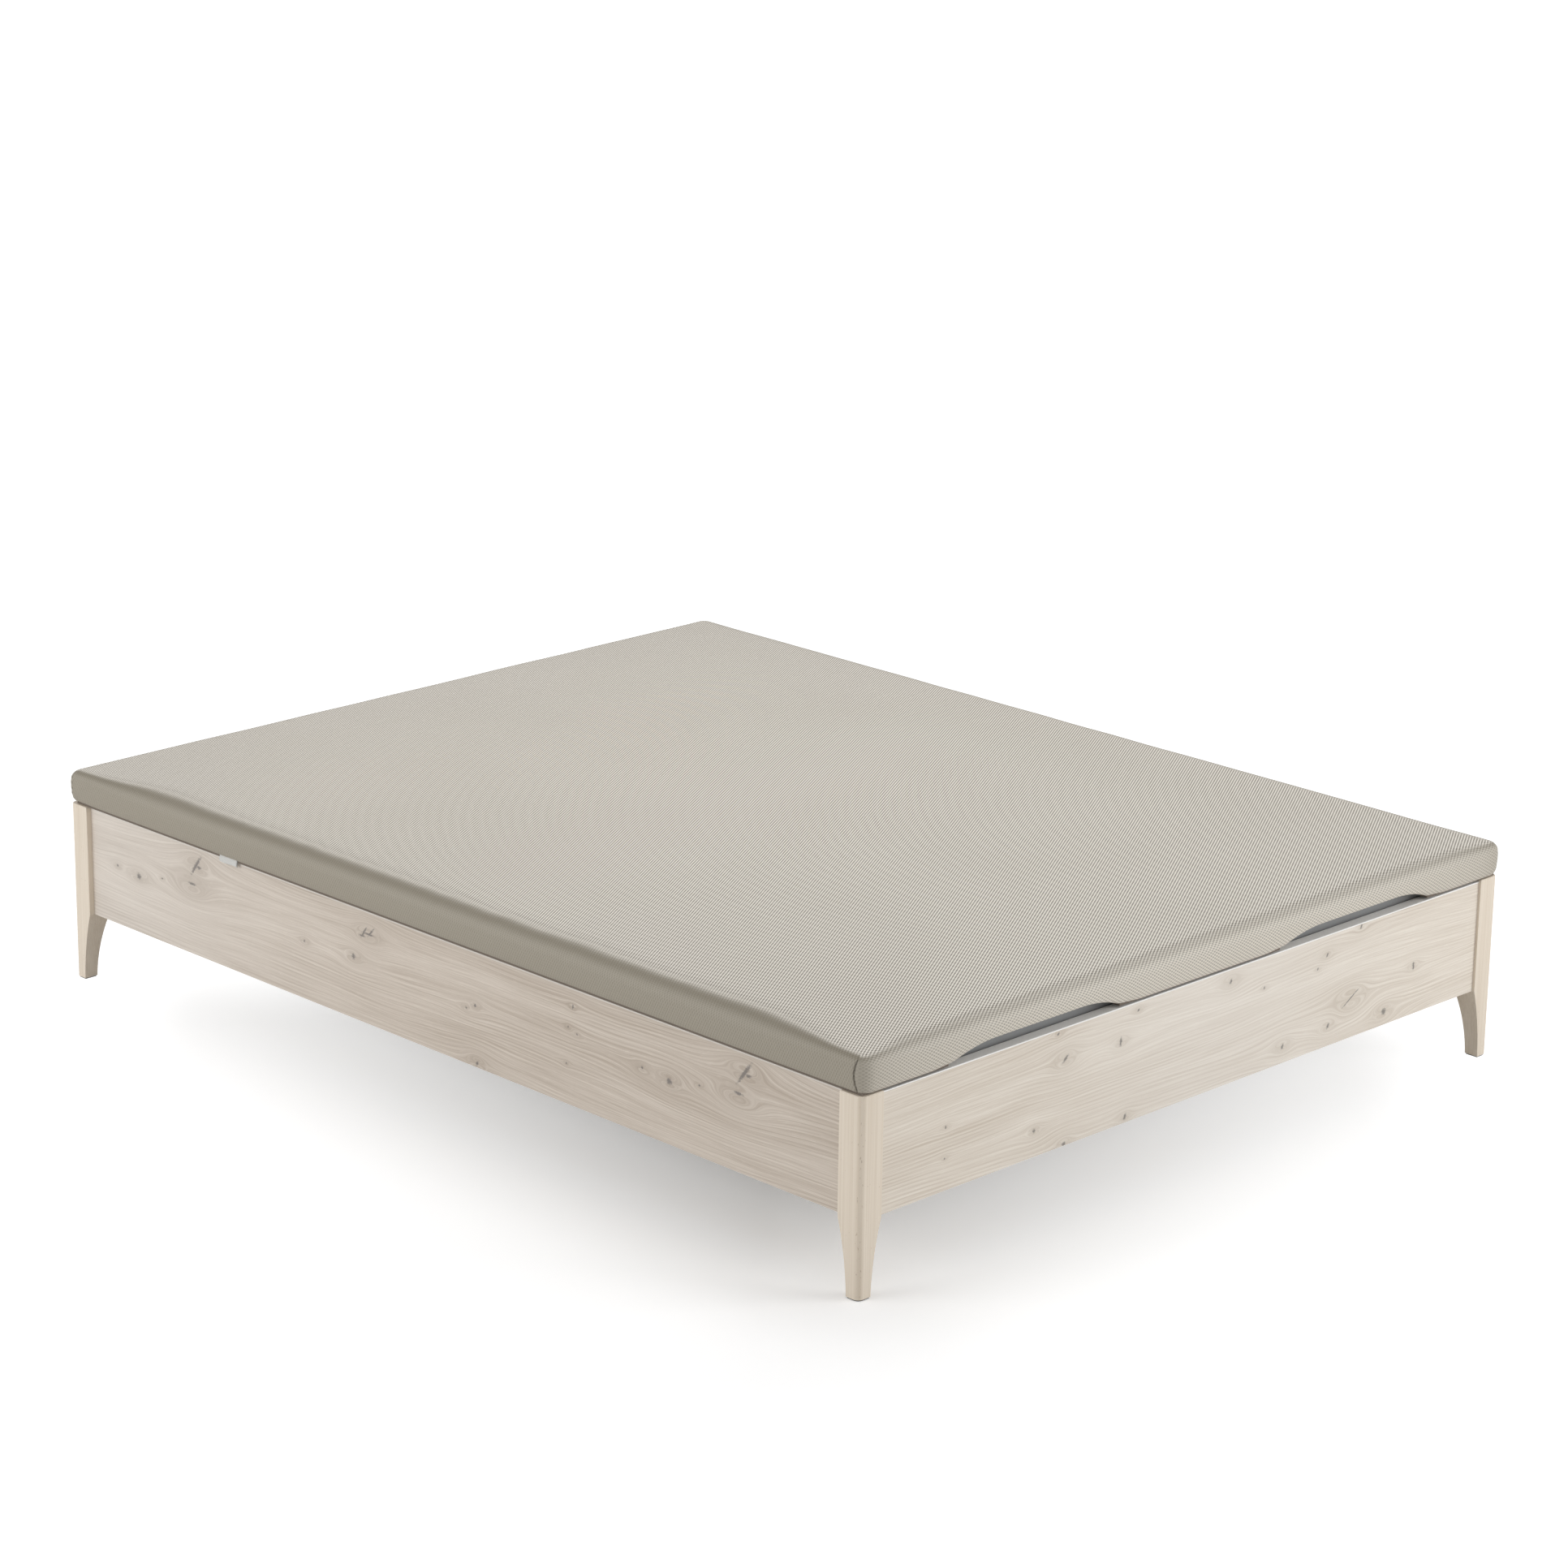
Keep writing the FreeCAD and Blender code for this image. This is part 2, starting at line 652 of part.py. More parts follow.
rim_span = (rim_bottom, board_bottom)
corner_shape = rounded_block(inner_half_width, inner_half_length, rim_bottom, board_bottom, inner_radius)
for side_name, side_sign in SIDES.items():
    x_span = (side_sign * lip_half_width, side_sign * inner_half_width)
    rim = block(x_span, (-inner_half_length, inner_half_length), rim_span)
    nodes["lid_rim_" + side_name] = rim.common(corner_shape)
foot_rim = block((-lip_half_width, lip_half_width), (-inner_half_length, -lip_half_length), rim_span)
for side_sign in SIDES.values():
    through = (-inner_half_length - overrun, -lip_half_length + overrun)
    foot_rim = foot_rim.cut(recess_cut(side_sign * recess_centre, through, recess_lining))
nodes["lid_rim_foot"] = foot_rim
head_span = (-head_rim_half_length, head_rim_half_length)
nodes["lid_rim_head"] = block(head_span, (lip_half_length, inner_half_length), rim_span)

strip_span = (post_height, lid_bottom)
strip_out_x = half_width - strip_inset
strip_out_y = half_length - strip_inset
strips = []
head_strip_y = hinge_y - head_strip_setback
for side_sign in SIDES.values():
    x_span = (side_sign * (strip_out_x - strip_width), side_sign * strip_out_x)
    strips.append(block(x_span, (-strip_out_y, head_strip_y), strip_span))
foot_y = (-strip_out_y, -strip_out_y + strip_width)
outer_start = recess_centre + recess_foot_half_length + strip_recess_margin
inner_end = recess_centre - recess_foot_half_length - strip_recess_margin
strips.append(block((-inner_end, inner_end), foot_y, strip_span))
for side_sign in SIDES.values():
    x_span = (side_sign * outer_start, side_sign * (strip_out_x - strip_width))
    strips.append(block(x_span, foot_y, strip_span))
strips.append(block(head_span, (head_strip_y - head_strip_width, head_strip_y), strip_span))
nodes["lid_rest_strips"] = group(strips)

tab_outer = half_width - tab_setback
tab_x = (-tab_outer, -tab_outer + tab_thickness)
tab_z = (lid_bottom - tab_height, lid_bottom)
nodes["lid_tab"] = block(tab_x, (tab_y - tab_length / 2, tab_y + tab_length / 2), tab_z)


def tube(x_span, y_span, along_x):
    """Rectangular steel tube of the lid frame, open at its ends."""
    z_span = (tube_bottom, board_bottom)
    outer = block(x_span, y_span, z_span)
    bore_z = (tube_bottom + tube_wall, board_bottom - tube_wall)
    if along_x:
        bore_y = (min(y_span) + tube_wall, max(y_span) - tube_wall)
        return outer.cut(block((min(x_span) - overrun, max(x_span) + overrun), bore_y, bore_z))
    bore_x = (min(x_span) + tube_wall, max(x_span) - tube_wall)
    return outer.cut(block(bore_x, (min(y_span) - overrun, max(y_span) + overrun), bore_z))


def lid_arm():
    """Flat steel arm along the right tube's outer face, from the strut's stud back to the hinge pin."""
    low_x = tube_outer_x
    step = Vec(arm_thickness, 0, 0)
    front_y = upper_stud_y - arm_tail
    z_span = (hinge_height - arm_height / 2, hinge_height + arm_height / 2)
    bar = block((low_x, arm_outer_x), (front_y, hinge_y), z_span)
    eye_low = Vec(low_x, hinge_y, hinge_height)
    bar = bar.fuse(rod(arm_height / 2, eye_low, eye_low + step)).removeSplitter()
    bore = rod(hinge_pin_radius + running_clearance, eye_low - step, eye_low + step * 2)
    stud_low = Vec(low_x - arm_thickness, upper_stud_y, upper_stud_z)
    stud_hole = rod(stud_radius, stud_low, stud_low + step * 3)
    return drill(bar, [bore, stud_hole] + [arm_bolt(share) for share in arm_bolt_shares])


def arm_bolt(share):
    """Bolt through the arm into the tube's wall."""
    y = upper_stud_y + share * (end_tube_outer_y - upper_stud_y)
    start = Vec(arm_outer_x, y, hinge_height)
    shank = rod(arm_bolt_radius, start, Vec(tube_outer_x - tube_wall, y, hinge_height))
    head = rod(arm_bolt_head_radius, start, start + Vec(arm_bolt_head_height, 0, 0))
    return shank.fuse(head).removeSplitter()


def upper_stud():
    """Stud on the lid arm that carries the strut's upper eye."""
    cap_x = strut_x + strut_eye_thickness / 2 + stud_side_gap
    start = Vec(tube_outer_x, upper_stud_y, upper_stud_z)
    end = Vec(cap_x, upper_stud_y, upper_stud_z)
    shaft = rod(stud_radius, start, end)
    cap = rod(stud_cap_radius, end, end + Vec(stud_cap_height, 0, 0))
    collar_end = Vec(strut_x - strut_eye_thickness / 2 - stud_side_gap, upper_stud_y, upper_stud_z)
    collar = rod(stud_cap_radius, Vec(arm_outer_x, upper_stud_y, upper_stud_z), collar_end)
    return shaft.fuse([cap, collar]).removeSplitter()


def frame_screw_points():
    """Places on the frame's underside where it is screwed up into the board."""
    side_x = tube_outer_x - tube_width / 2
    end_y = end_tube_outer_y - tube_width / 2
    points = [(x, y) for x in (-side_x, side_x) for y in evenly(*side_tube_y, side_tube_screw_count)]
    end_x = evenly(-tube_outer_x, tube_outer_x, end_tube_screw_count)
    points += [(x, y) for y in (-end_y, end_y) for x in end_x]
    return [Vec(x, y, tube_bottom) for x, y in points]


bolts = [place(arm_bolt(share), side, HEAD) for side in SIDES.values() for share in arm_bolt_shares]
frame_screws = [screw(point, Vec(0, 0, 1), tube_height + frame_screw_bite) for point in frame_screw_points()]
nodes["lid_board"] = drill(nodes["lid_board"], frame_screws)
nodes["lid_frame_screws"] = group(frame_screws)
for side_name, side_sign in SIDES.items():
    x_span = (side_sign * tube_inner_x, side_sign * tube_outer_x)
    nodes["lid_tube_" + side_name] = drill(tube(x_span, side_tube_y, False), bolts + frame_screws)
for end_name, end_sign in ENDS.items():
    y_span = (end_sign * (end_tube_outer_y - tube_width), end_sign * end_tube_outer_y)
    nodes["lid_tube_" + end_name] = drill(tube((-tube_outer_x, tube_outer_x), y_span, True), frame_screws)
for number, y in enumerate(crossbar_places):
    y_span = (y - tube_width / 2, y + tube_width / 2)
    nodes["lid_crossbar_" + str(number + 1)] = tube((-tube_inner_x, tube_inner_x), y_span, True)
for side_name, side_sign in SIDES.items():
    nodes["lid_arm_" + side_name] = place(lid_arm(), side_sign, HEAD)
nodes["lid_arm_bolts"] = group(bolts)
nodes["strut_upper_studs"] = group([place(upper_stud(), side, HEAD) for side in SIDES.values()])


# Gas struts, drawn along the line from the lower to the upper stud on the right

lower_point = Vec(strut_x, lower_stud_y, lower_stud_z)
upper_point = Vec(strut_x, upper_stud_y, upper_stud_z)
strut_way = (upper_point - lower_point) * (1 / strut_rest_length)


def strut_eye(centre, towards):
    """Eye on a stud with a short neck towards the tube or rod."""
    half = Vec(strut_eye_thickness / 2, 0, 0)
    ring = rod(strut_eye_radius, centre - half, centre + half)
    flats = rod(strut_eye_radius + strut_neck_start, centre - half, centre + half)
    neck = rod(strut_neck_radius, centre, centre + towards * strut_neck_start).common(flats)
    eye = ring.fuse(neck).removeSplitter()
    hole = rod(stud_radius + running_clearance, centre - half * 2, centre + half * 2)
    return eye.cut(hole)


def strut_cylinder():
    """Closed tube with a gland for the rod and an eye at its lower end."""
    start = lower_point + strut_way * strut_neck_start
    end = start + strut_way * strut_tube_length
    body = rod(strut_tube_radius, start, end)
    bore_start = start + strut_way * strut_gland_length
    bore_end = end - strut_way * strut_gland_length
    body = body.cut(rod(strut_tube_radius - strut_tube_wall, bore_start, bore_end))
    body = body.cut(rod(strut_rod_radius + seat_gap, bore_start, end + strut_way * overrun))
    return body.fuse(strut_eye(lower_point, strut_way)).removeSplitter()


def strut_rod():
    """Polished rod with an eye at its upper end."""
    start = upper_point - strut_way * strut_neck_start
    end = upper_point - strut_way * strut_rod_length
    bar = rod(strut_rod_radius, start, end)
    return bar.fuse(strut_eye(upper_point, strut_way * -1)).removeSplitter()


for side_name, side_sign in SIDES.items():
    nodes["strut_cylinder_" + side_name] = place(strut_cylinder(), side_sign, HEAD)
    nodes["strut_rod_" + side_name] = place(strut_rod(), side_sign, HEAD)

for name, shape in nodes.items():
    shape.exportStep("parts/" + name + ".step")
print(len(nodes), "nodes")
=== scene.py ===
import math

import bmesh
import bpy
import numpy as np
from mathutils import Matrix, Vector, noise


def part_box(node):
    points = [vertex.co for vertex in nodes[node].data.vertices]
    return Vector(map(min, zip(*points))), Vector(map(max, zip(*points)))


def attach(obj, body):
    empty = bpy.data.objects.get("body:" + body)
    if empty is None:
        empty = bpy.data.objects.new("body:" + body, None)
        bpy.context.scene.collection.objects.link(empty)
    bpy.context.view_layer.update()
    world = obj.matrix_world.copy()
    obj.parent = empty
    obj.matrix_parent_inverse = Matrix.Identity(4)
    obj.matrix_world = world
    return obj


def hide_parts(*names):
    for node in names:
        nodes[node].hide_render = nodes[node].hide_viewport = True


# Lift-up storage bed base: pale legs, knotty oak boards and a flat lid in taupe open-mesh fabric.
# Metres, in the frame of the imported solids: X across the bed, Y towards the head end, Z up.

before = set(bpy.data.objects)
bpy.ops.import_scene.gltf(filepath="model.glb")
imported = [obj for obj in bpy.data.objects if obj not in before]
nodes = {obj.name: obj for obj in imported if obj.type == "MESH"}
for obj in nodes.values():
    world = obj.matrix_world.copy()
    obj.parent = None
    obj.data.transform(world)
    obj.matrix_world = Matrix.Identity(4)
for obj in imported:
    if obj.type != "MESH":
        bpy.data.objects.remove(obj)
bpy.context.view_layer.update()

# Lid cover: its rolled rim, its tucked lower edge and how it hangs
cover_low, cover_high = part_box("lid_cover")
lid_corner_radius = 0.025
lid_foot_roll_width = 0.046
lid_foot_roll_blend = 0.11
lid_left_roll_width = 0.055
lid_left_roll_blend = 0.22
lid_roll_drop = 0.0205
lid_roll_wander = 0.005
lid_corner_roll_width = 0.020
lid_corner_roll_drop = 0.015
lid_tuck_width = 0.008
lid_tuck_height = 0.018
lid_side_bulge = 0.0008
lid_side_wave = 0.0005
lid_foot_sag = 0.0030
lid_foot_sag_blend = 0.05
lid_side_sag = 0.0007
lid_side_sag_blend = 0.06
lid_top_ease = 0.0006
lid_top_wave = 0.0002
lid_rim_wave = 0.0006
lid_rim_wave_reach = 0.05
lid_cloth_thickness = 0.002
lid_wall_thickness = 0.008
lid_wall_rise = 0.3
lid_lip_step = 0.0015
hinge_gap_span = (0.648, 0.727)
hinge_gap_tuck = 0.006
hinge_gap_lip = lid_corner_radius - lid_wall_thickness - 0.0005
recess_centre = 0.378
recess_foot_half = 0.183
recess_top_half = 0.093
recess_height = 0.018
recess_tuck_width = 0.0035
recess_tuck_height = 0.005

# Points of a section of the cover, and how close together the sections stand
rim_last = 10
side_parts = 8
tuck_parts = 6
outer_last = rim_last + side_parts + tuck_parts + 2
lid_column_pitch = 0.009
lid_edge_pitch = 0.003
fan_parts = 8
fan_crowding = 1.8

# Corner seams
seam_turn = math.radians(72.0)
seam_depth = 0.0018
seam_half_width = 0.0011
seam_bow = math.radians(5.2)
seam_bow_lean = 0.15
seam_waver = 0.5
seam_pucker = 0.0006
seam_pucker_reach = 0.008
seam_pucker_pitch = 0.0095
seam_pucker_shift = 2.0
seam_first_point = 3
seam_start_points = 4
seam_end_points = 3

# Knit of the cover, and how it shows where it is drawn over the rim, down the sides and to the corners, where
# painted shade darkens it.
# A rim's shade: how far over the roll its dark has come up, where that ends, over what length it
# fades, where the cloth starts to turn and over what length it turns
mesh_row_pitch = 0.00882
mesh_step_pitch = 0.00509
mesh_stretch = 0.0313
long_rim_stretch = 1.6
long_rim_shade = (0.68, 0.94, 0.26, 0.20, 0.55)
end_rim_shade = (0.50, 0.97, 0.40, 0.12, 0.45)
# How far the ends and the corners count as turned down the side, and how far from a corner seam the sides'
# painted shade and the smoothed cloth reach
end_flank = 0.35
corner_flank = 0.92
corner_shade_near = 0.028
corner_shade_far = 0.35
corner_smooth_reach = 0.010

# Foam pad: height above its underside and inset of each ring of its softened edge, and the cover's gaps to it
foam_low, foam_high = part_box("lid_foam")
foam_rings = ((0.0002, 0.003), (0.003, 0.0), (0.006, 0.0), (0.0100, 0.008), (0.0127, 0.020), (0.0143, 0.040))
foam_ring_pitch = 0.06
foam_corner_parts = 6
foam_cloth_gap = 0.0012
cover_ceiling = foam_high.z - 0.0024
cover_ceiling_gap = 0.0015

# Grain of the boards: where the knots lie along the board and up it, how far the grain swings
# round each, half the length and half the height of its dark core, and how far the core leans over
side_print_repeat = 1.313
side_print_knots = (
    (-0.700, 0.281, 0.022, 0.0044, 0.0190, -0.74),
    (-0.7085, 0.279, 0.006, 0.0060, 0.0030, 0.0),
    (-0.688, 0.246, 0.030, 0.0100, 0.0026, 0.0),
    (-0.540, 0.223, 0.016, 0.0062, 0.0050, 0.0),
    (-0.480, 0.228, 0.009, 0.0025, 0.0026, 0.0),
    (0.163, 0.275, 0.020, 0.0150, 0.0019, 1.2),
    (0.157, 0.279, 0.004, 0.0026, 0.0085, -0.9),
    (0.174, 0.276, 0.004, 0.0026, 0.0105, -0.7),
    (0.178, 0.269, 0.004, 0.0080, 0.0019, 0.0),
    (0.201, 0.228, 0.016, 0.0050, 0.0046, 0.0),
    (-0.097, 0.224, 0.008, 0.0032, 0.0026, 0.0),
    (-0.076, 0.215, 0.006, 0.0022, 0.0018, 0.0),
    (-0.101, 0.129, 0.018, 0.0030, 0.0046, -0.3),
    (-0.325, 0.283, 0.007, 0.0020, 0.0042, 0.0),
    (-0.314, 0.248, 0.005, 0.0018, 0.0018, 0.0),
    (-0.334, 0.241, 0.005, 0.0022, 0.0017, 0.0),
    (-0.310, 0.188, 0.005, 0.0018, 0.0018, 0.0),
    (0.327, 0.222, 0.008, 0.0024, 0.0024, 0.0),
    (-0.605, 0.235, 0.005, 0.0022, 0.0016, 0.0),
)
side_board_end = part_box("side_board_left")[1].y
side_knots = side_print_knots + tuple(
    (place + side_print_repeat, *shape) for place, *shape in side_print_knots
    if place + side_print_repeat < side_board_end)
end_knots = (
    (-0.310, 0.262, 0.020, 0.0036, 0.0060, 0.8),
    (-0.185, 0.257, 0.012, 0.0030, 0.0075, 0.1),
    (-0.328, 0.306, 0.008, 0.0025, 0.0026, 0.5),
    (-0.376, 0.164, 0.010, 0.0032, 0.0032, 0.0),
    (-0.308, 0.125, 0.013, 0.0046, 0.0032, 0.3),
    (-0.169, 0.132, 0.011, 0.0030, 0.0055, 0.3),
    (-0.146, 0.299, 0.007, 0.0024, 0.0024, 0.5),
    (0.072, 0.292, 0.014, 0.0030, 0.0040, 0.4),
    (0.207, 0.150, 0.013, 0.0030, 0.0042, 0.2),
    (0.321, 0.156, 0.012, 0.0030, 0.0052, 0.3),
    (0.395, 0.308, 0.011, 0.0025, 0.0050, 0.3),
    (0.311, 0.279, 0.009, 0.0022, 0.0040, 0.5),
    (0.377, 0.190, 0.027, 0.0026, 0.0120, 1.7),
    (0.466, 0.145, 0.017, 0.0060, 0.0052, 0.0),
    (0.539, 0.206, 0.010, 0.0026, 0.0070, 0.0),
    (-0.569, 0.222, 0.005, 0.0017, 0.0030, 0.0),
    (-0.570, 0.173, 0.005, 0.0017, 0.0017, 0.0),
    (0.155, 0.261, 0.005, 0.0018, 0.0030, 0.3),
    (0.288, 0.260, 0.005, 0.0018, 0.0026, 0.3),
)
# Where a board's painted pool of light is brightest along it, half the length of that stretch, and how pale
# it makes the print
side_painted_light = (0.95, 0.5, 0.30)
end_painted_light = (0.05, 0.4, 0.34)
right_print_shift = 0.31
head_print_shift = 0.21

# Layers of the grain: how often each varies along and across it, detail, roughness, and its soft limits
grain_layers = {
    "Bands": (1.5, 26.0, 3.0, 0.55, 0.32, 0.68),
    "Streaks": (3.2, 330.0, 3.0, 0.60, 0.30, 0.70),
    "Fine": (9.0, 820.0, 2.0, 0.55, 0.30, 0.70),
    "Pores": (55.0, 900.0, 1.0, 0.50, 0.60, 0.72),
    "Patches": (2.0, 11.0, 2.0, 0.50, 0.42, 0.60),
}
grain_line_pitch = 0.0062
grain_line_bend = 22.0

# How far in from a leg's outer corner its flecks start and are full, and where the long boards' bands,
# darkened by painted shade, start
leg_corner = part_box("leg_head_right")[1]
leg_fleck_start = 0.0115
leg_fleck_full = 0.005
side_band_inner = -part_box("side_board_left")[1].x - 0.009
side_band_full = side_band_inner + 0.008

# Small fittings
stitch_pitch = 0.0042
stitch_length = 0.0034
stitch_radius = 0.00045
stitch_stand_share = 0.4
staple_pitch = 0.06
staple_width = 0.011
staple_radius = 0.0006
staple_inset = 0.008
staple_clearance = 0.02
screw_head_radius = 0.004
bolt_head_radius = 0.0055
drive_slot_share = 0.26
drive_reach_share = 0.62
drive_height_share = 0.28
vent_bore = 0.0195
vent_bar_pitch = 0.005
vent_bar_radius = 0.0009
tab_cloth_thickness = 0.0005
tab_gather = 0.0012
tab_fold = 0.0011
tab_back = 0.0009
tab_sewn_in = 0.001
tab_sway = 0.0006
tab_fold_parts = 6
tab_length_parts = 12

# Camera, as the photograph was taken; its size and focal length are in pixels
photo_size = 1932
photo_focal = 5404.9
sensor_width = 36.0
camera_yaw = math.radians(44.85)
camera_pitch = math.radians(17.14)
camera_roll = math.radians(0.81)
camera_distance = 8.07
camera_target = Vector((0.497, 0.470, 0.2))

# Light and floor; a panel has its place, the place it aims at, its size and its power
sky_strength = 0.5
soft_panels = {
    "overhead_panel": ((0.3, 0.3, 2.9), (0.2, 0.2, 0.3), 1.8, 22.8),
    "foot_panel": ((3.2, -5.2, 1.9), (0.2, -0.8, 0.2), 3.0, 121.0),
    "side_panel": ((-5.2, 1.8, 1.9), (-0.6, 0.2, 0.2), 3.0, 92.0),
}
floor_half = 30.0
# How bright the floor shows, and how deep the bed's shadow is painted by place: its full depth, its fade and
# limits to the sides, and its limits near and far
floor_white = 1.18
floor_shadow = 1.0
floor_shadow_fade = 0.55
floor_shadow_side = (1.25, 0.95)
floor_shadow_near = (-1.90, -1.45)
floor_shadow_far = (0.35, -0.10)
floor_bounce = (0.80, 0.79, 0.77)
white = (1.0, 1.0, 1.0)
black = (0.0, 0.0, 0.0)

# Lengths in metres and angles in radians below this count as nothing
tiny = 1e-6


class Term:
    """A node's output that can stand in a sum: each operator adds one Math node to its tree."""

    def __init__(self, build, socket):
        self.build = build
        self.socket = socket

    def __add__(self, other):
        return self.build.math("ADD", self, other)

    def __sub__(self, other):
        return self.build.math("SUBTRACT", self, other)

    def __rsub__(self, other):
        return self.build.math("SUBTRACT", other, self)

    def __mul__(self, other):
        return self.build.math("MULTIPLY", self, other)

    def __truediv__(self, other):
        return self.build.math("DIVIDE", self, other)

    def clamped(self):
        """The same sum, held between 0 and 1."""
        self.socket.node.use_clamp = True
        return self


class Nodes:
    """Builds a node tree: each call adds one node, with links or plain values on its inputs."""

    def __init__(self, tree):
        self.tree = tree

    def put(self, socket, value):
        """Links an output to a socket or sets the socket's plain value; a colour is red, green and blue."""
        if isinstance(value, Term):
            value = value.socket
        if isinstance(value, bpy.types.Node):
            value = value.outputs[0]
        if isinstance(value, bpy.types.NodeSocket):
            self.tree.links.new(value, socket)
        elif value is not None:
            socket.default_value = (*value, 1.0) if socket.type == "RGBA" else value

    def add(self, kind, inputs=None, **settings):
        node = self.tree.nodes.new(kind)
        for name, value in settings.items():
            setattr(node, name, value)
        for name, value in (inputs or {}).items():
            self.put(node.inputs[name], value)
        return node

    def term(self, kind, inputs=None, **settings):
        return Term(self, self.add(kind, inputs, **settings).outputs[0])

    def terms(self, kind, inputs=None, **settings):
        """All outputs of a new node, in order."""
        return [Term(self, socket) for socket in self.add(kind, inputs, **settings).outputs]

    def math(self, operation, first, second=None):
        return self.term("ShaderNodeMath", {0: first, 1: second}, operation=operation)

    def ramp(self, value, low, high):
        """Smooth step of a value between two limits."""
        inputs = {0: value, 1: low, 2: high, 3: 0.0, 4: 1.0}
        return self.term("ShaderNodeMapRange", inputs, interpolation_type="SMOOTHSTEP")

    def mix(self, factor, first, second):
        node = self.add("ShaderNodeMix", {0: factor}, data_type="RGBA")
        self.put(node.inputs[6], first)
        self.put(node.inputs[7], second)
        return Term(self, node.outputs[2])

    def join(self, x, y, z=0.0):
        return self.term("ShaderNodeCombineXYZ", {0: x, 1: y, 2: z})

    def split(self, vector):
        return self.terms("ShaderNodeSeparateXYZ", {0: vector})

    def noise(self, vector, scale, detail=3.0, roughness=0.55):
        inputs = {"Vector": vector, "Scale": scale, "Detail": detail, "Roughness": roughness}
        return self.term("ShaderNodeTexNoise", inputs)

    def group(self, tree, **inputs):
        """Places a shader group; returns its outputs by name."""
        node = self.add("ShaderNodeGroup", node_tree=tree)
        for name, value in inputs.items():
            self.put(node.inputs[name.replace("_", " ")], value)
        return {socket.name: Term(self, socket) for socket in node.outputs}


def node_group(name, kind, inputs, outputs):
    """New node group; inputs are name, socket type and default. Returns its builder, inputs and outputs."""
    tree = bpy.data.node_groups.new(name, kind)
    for label, socket_type, default in inputs:
        socket = tree.interface.new_socket(label, in_out="INPUT", socket_type="NodeSocket" + socket_type)
        if default is not None:
            socket.default_value = default
    for label, socket_type in outputs:
        tree.interface.new_socket(label, in_out="OUTPUT", socket_type="NodeSocket" + socket_type)
    build = Nodes(tree)
    given = {socket.name: Term(build, socket) for socket in build.add("NodeGroupInput").outputs}
    return build, given, build.add("NodeGroupOutput").inputs


def shader_group(name, inputs, outputs):
    """Shader group with plain numbers as outputs, and as inputs where only a name is given."""
    inputs = [(entry, "Float", 0.0) if isinstance(entry, str) else entry for entry in inputs]
    return node_group(name, "ShaderNodeTree", inputs, [(label, "Float") for label in outputs])


# Effects that several finishes share

def edge_highlight_group():
    """Mask that rises along sharp edges, where a painted highlight pales the finish."""
    build, given, out = shader_group("Edge highlight", [("Reach", "Float", 0.0015)], ["Mask"])
    rounded = build.add("ShaderNodeBevel", {"Radius": given["Reach"]}, samples=4)
    flat = build.add("ShaderNodeNewGeometry").outputs["Normal"]
    same = build.add("ShaderNodeVectorMath", {0: rounded, 1: flat}, operation="DOT_PRODUCT")
    build.put(out["Mask"], build.ramp(same.outputs["Value"], 0.995, 0.86))
    return build.tree


def grain_group():
    """Straight wood grain along one direction: its layers, and dark lines that come in patches."""
    outputs = ["Bands", "Streaks", "Fine", "Pores", "Lines"]
    build, given, out = shader_group("Wood grain", ["Along", "Across", "Depth"], outputs)

    def stretched(along, across, detail, roughness):
        point = build.join(given["Along"] * along, given["Across"] * across, given["Depth"] * across)
        return build.noise(point, 1.0, detail, roughness)

    layers = {}
    for name, (along, across, detail, roughness, low, high) in grain_layers.items():
        layers[name] = build.ramp(stretched(along, across, detail, roughness), low, high)
    bend = stretched(1.1, 12.0, 2.0, 0.5) * grain_line_bend
    wave = build.math("SINE", given["Across"] * (2 * math.pi / grain_line_pitch) + bend)
    layers["Lines"] = build.ramp(wave, -0.6, 0.9) * layers["Patches"]
    for name in outputs:
        build.put(out[name], layers[name])
    return build.tree


def knot_group():
    """One knot: how far the grain swings aside for it, its dark core and the grey cloud about it."""
    inputs = ["Along", "Across", "Knot Along", "Knot Across", ("Swing", "Float", 0.01),
              ("Half Length", "Float", 0.003), ("Half Height", "Float", 0.003), "Lean", "Rough"]
    build, given, out = shader_group("Knot", inputs, ["Bend", "Core", "Cloud"])
    along = given["Along"] - given["Knot Along"]
    across = given["Across"] - given["Knot Across"]
    wide = (along - across * given["Lean"]) / given["Half Length"]
    high = across / given["Half Height"]
    reach = build.math("SQRT", wide * wide + high * high) + given["Rough"]
    build.put(out["Core"], build.ramp(reach, 1.35, 0.35))
    half = along * 0.5
    near = half * half + across * across
    swing = given["Swing"] * given["Swing"]
    build.put(out["Bend"], across * swing / (near + swing * 0.45))
    build.put(out["Cloud"], build.math("EXPONENT", near / swing * -1.1))
    return build.tree


def open_mesh_group():
    """Staggered round holes of a knitted spacer fabric, laid out on a flat coordinate in metres."""
    inputs = [("Flat", "Vector", None), "Opening"]
    build, given, out = shader_group("Open mesh", inputs, ["Hole", "Yarn", "Height"])
    u, v = build.split(given["Flat"])[:2]
    row = u * (2 * math.pi / mesh_row_pitch)
    step = v * (2 * math.pi / mesh_step_pitch)
    total = build.math("COSINE", row * 2.0) * 0.15
    for wave in (row + step, row - step):
        total = total + build.math("COSINE", wave)
    hole = build.ramp(total, -0.45 - given["Opening"], 0.75 - given["Opening"])
    build.put(out["Hole"], hole)
    build.put(out["Yarn"], build.noise(given["Flat"], 1400.0, 2.0, 0.6))
    build.put(out["Height"], 1.0 - hole)
    return build.tree


edge_highlight = edge_highlight_group()
wood_grain = grain_group()
knot = knot_group()
open_mesh = open_mesh_group()


# Finishes, by name

finishes = {}


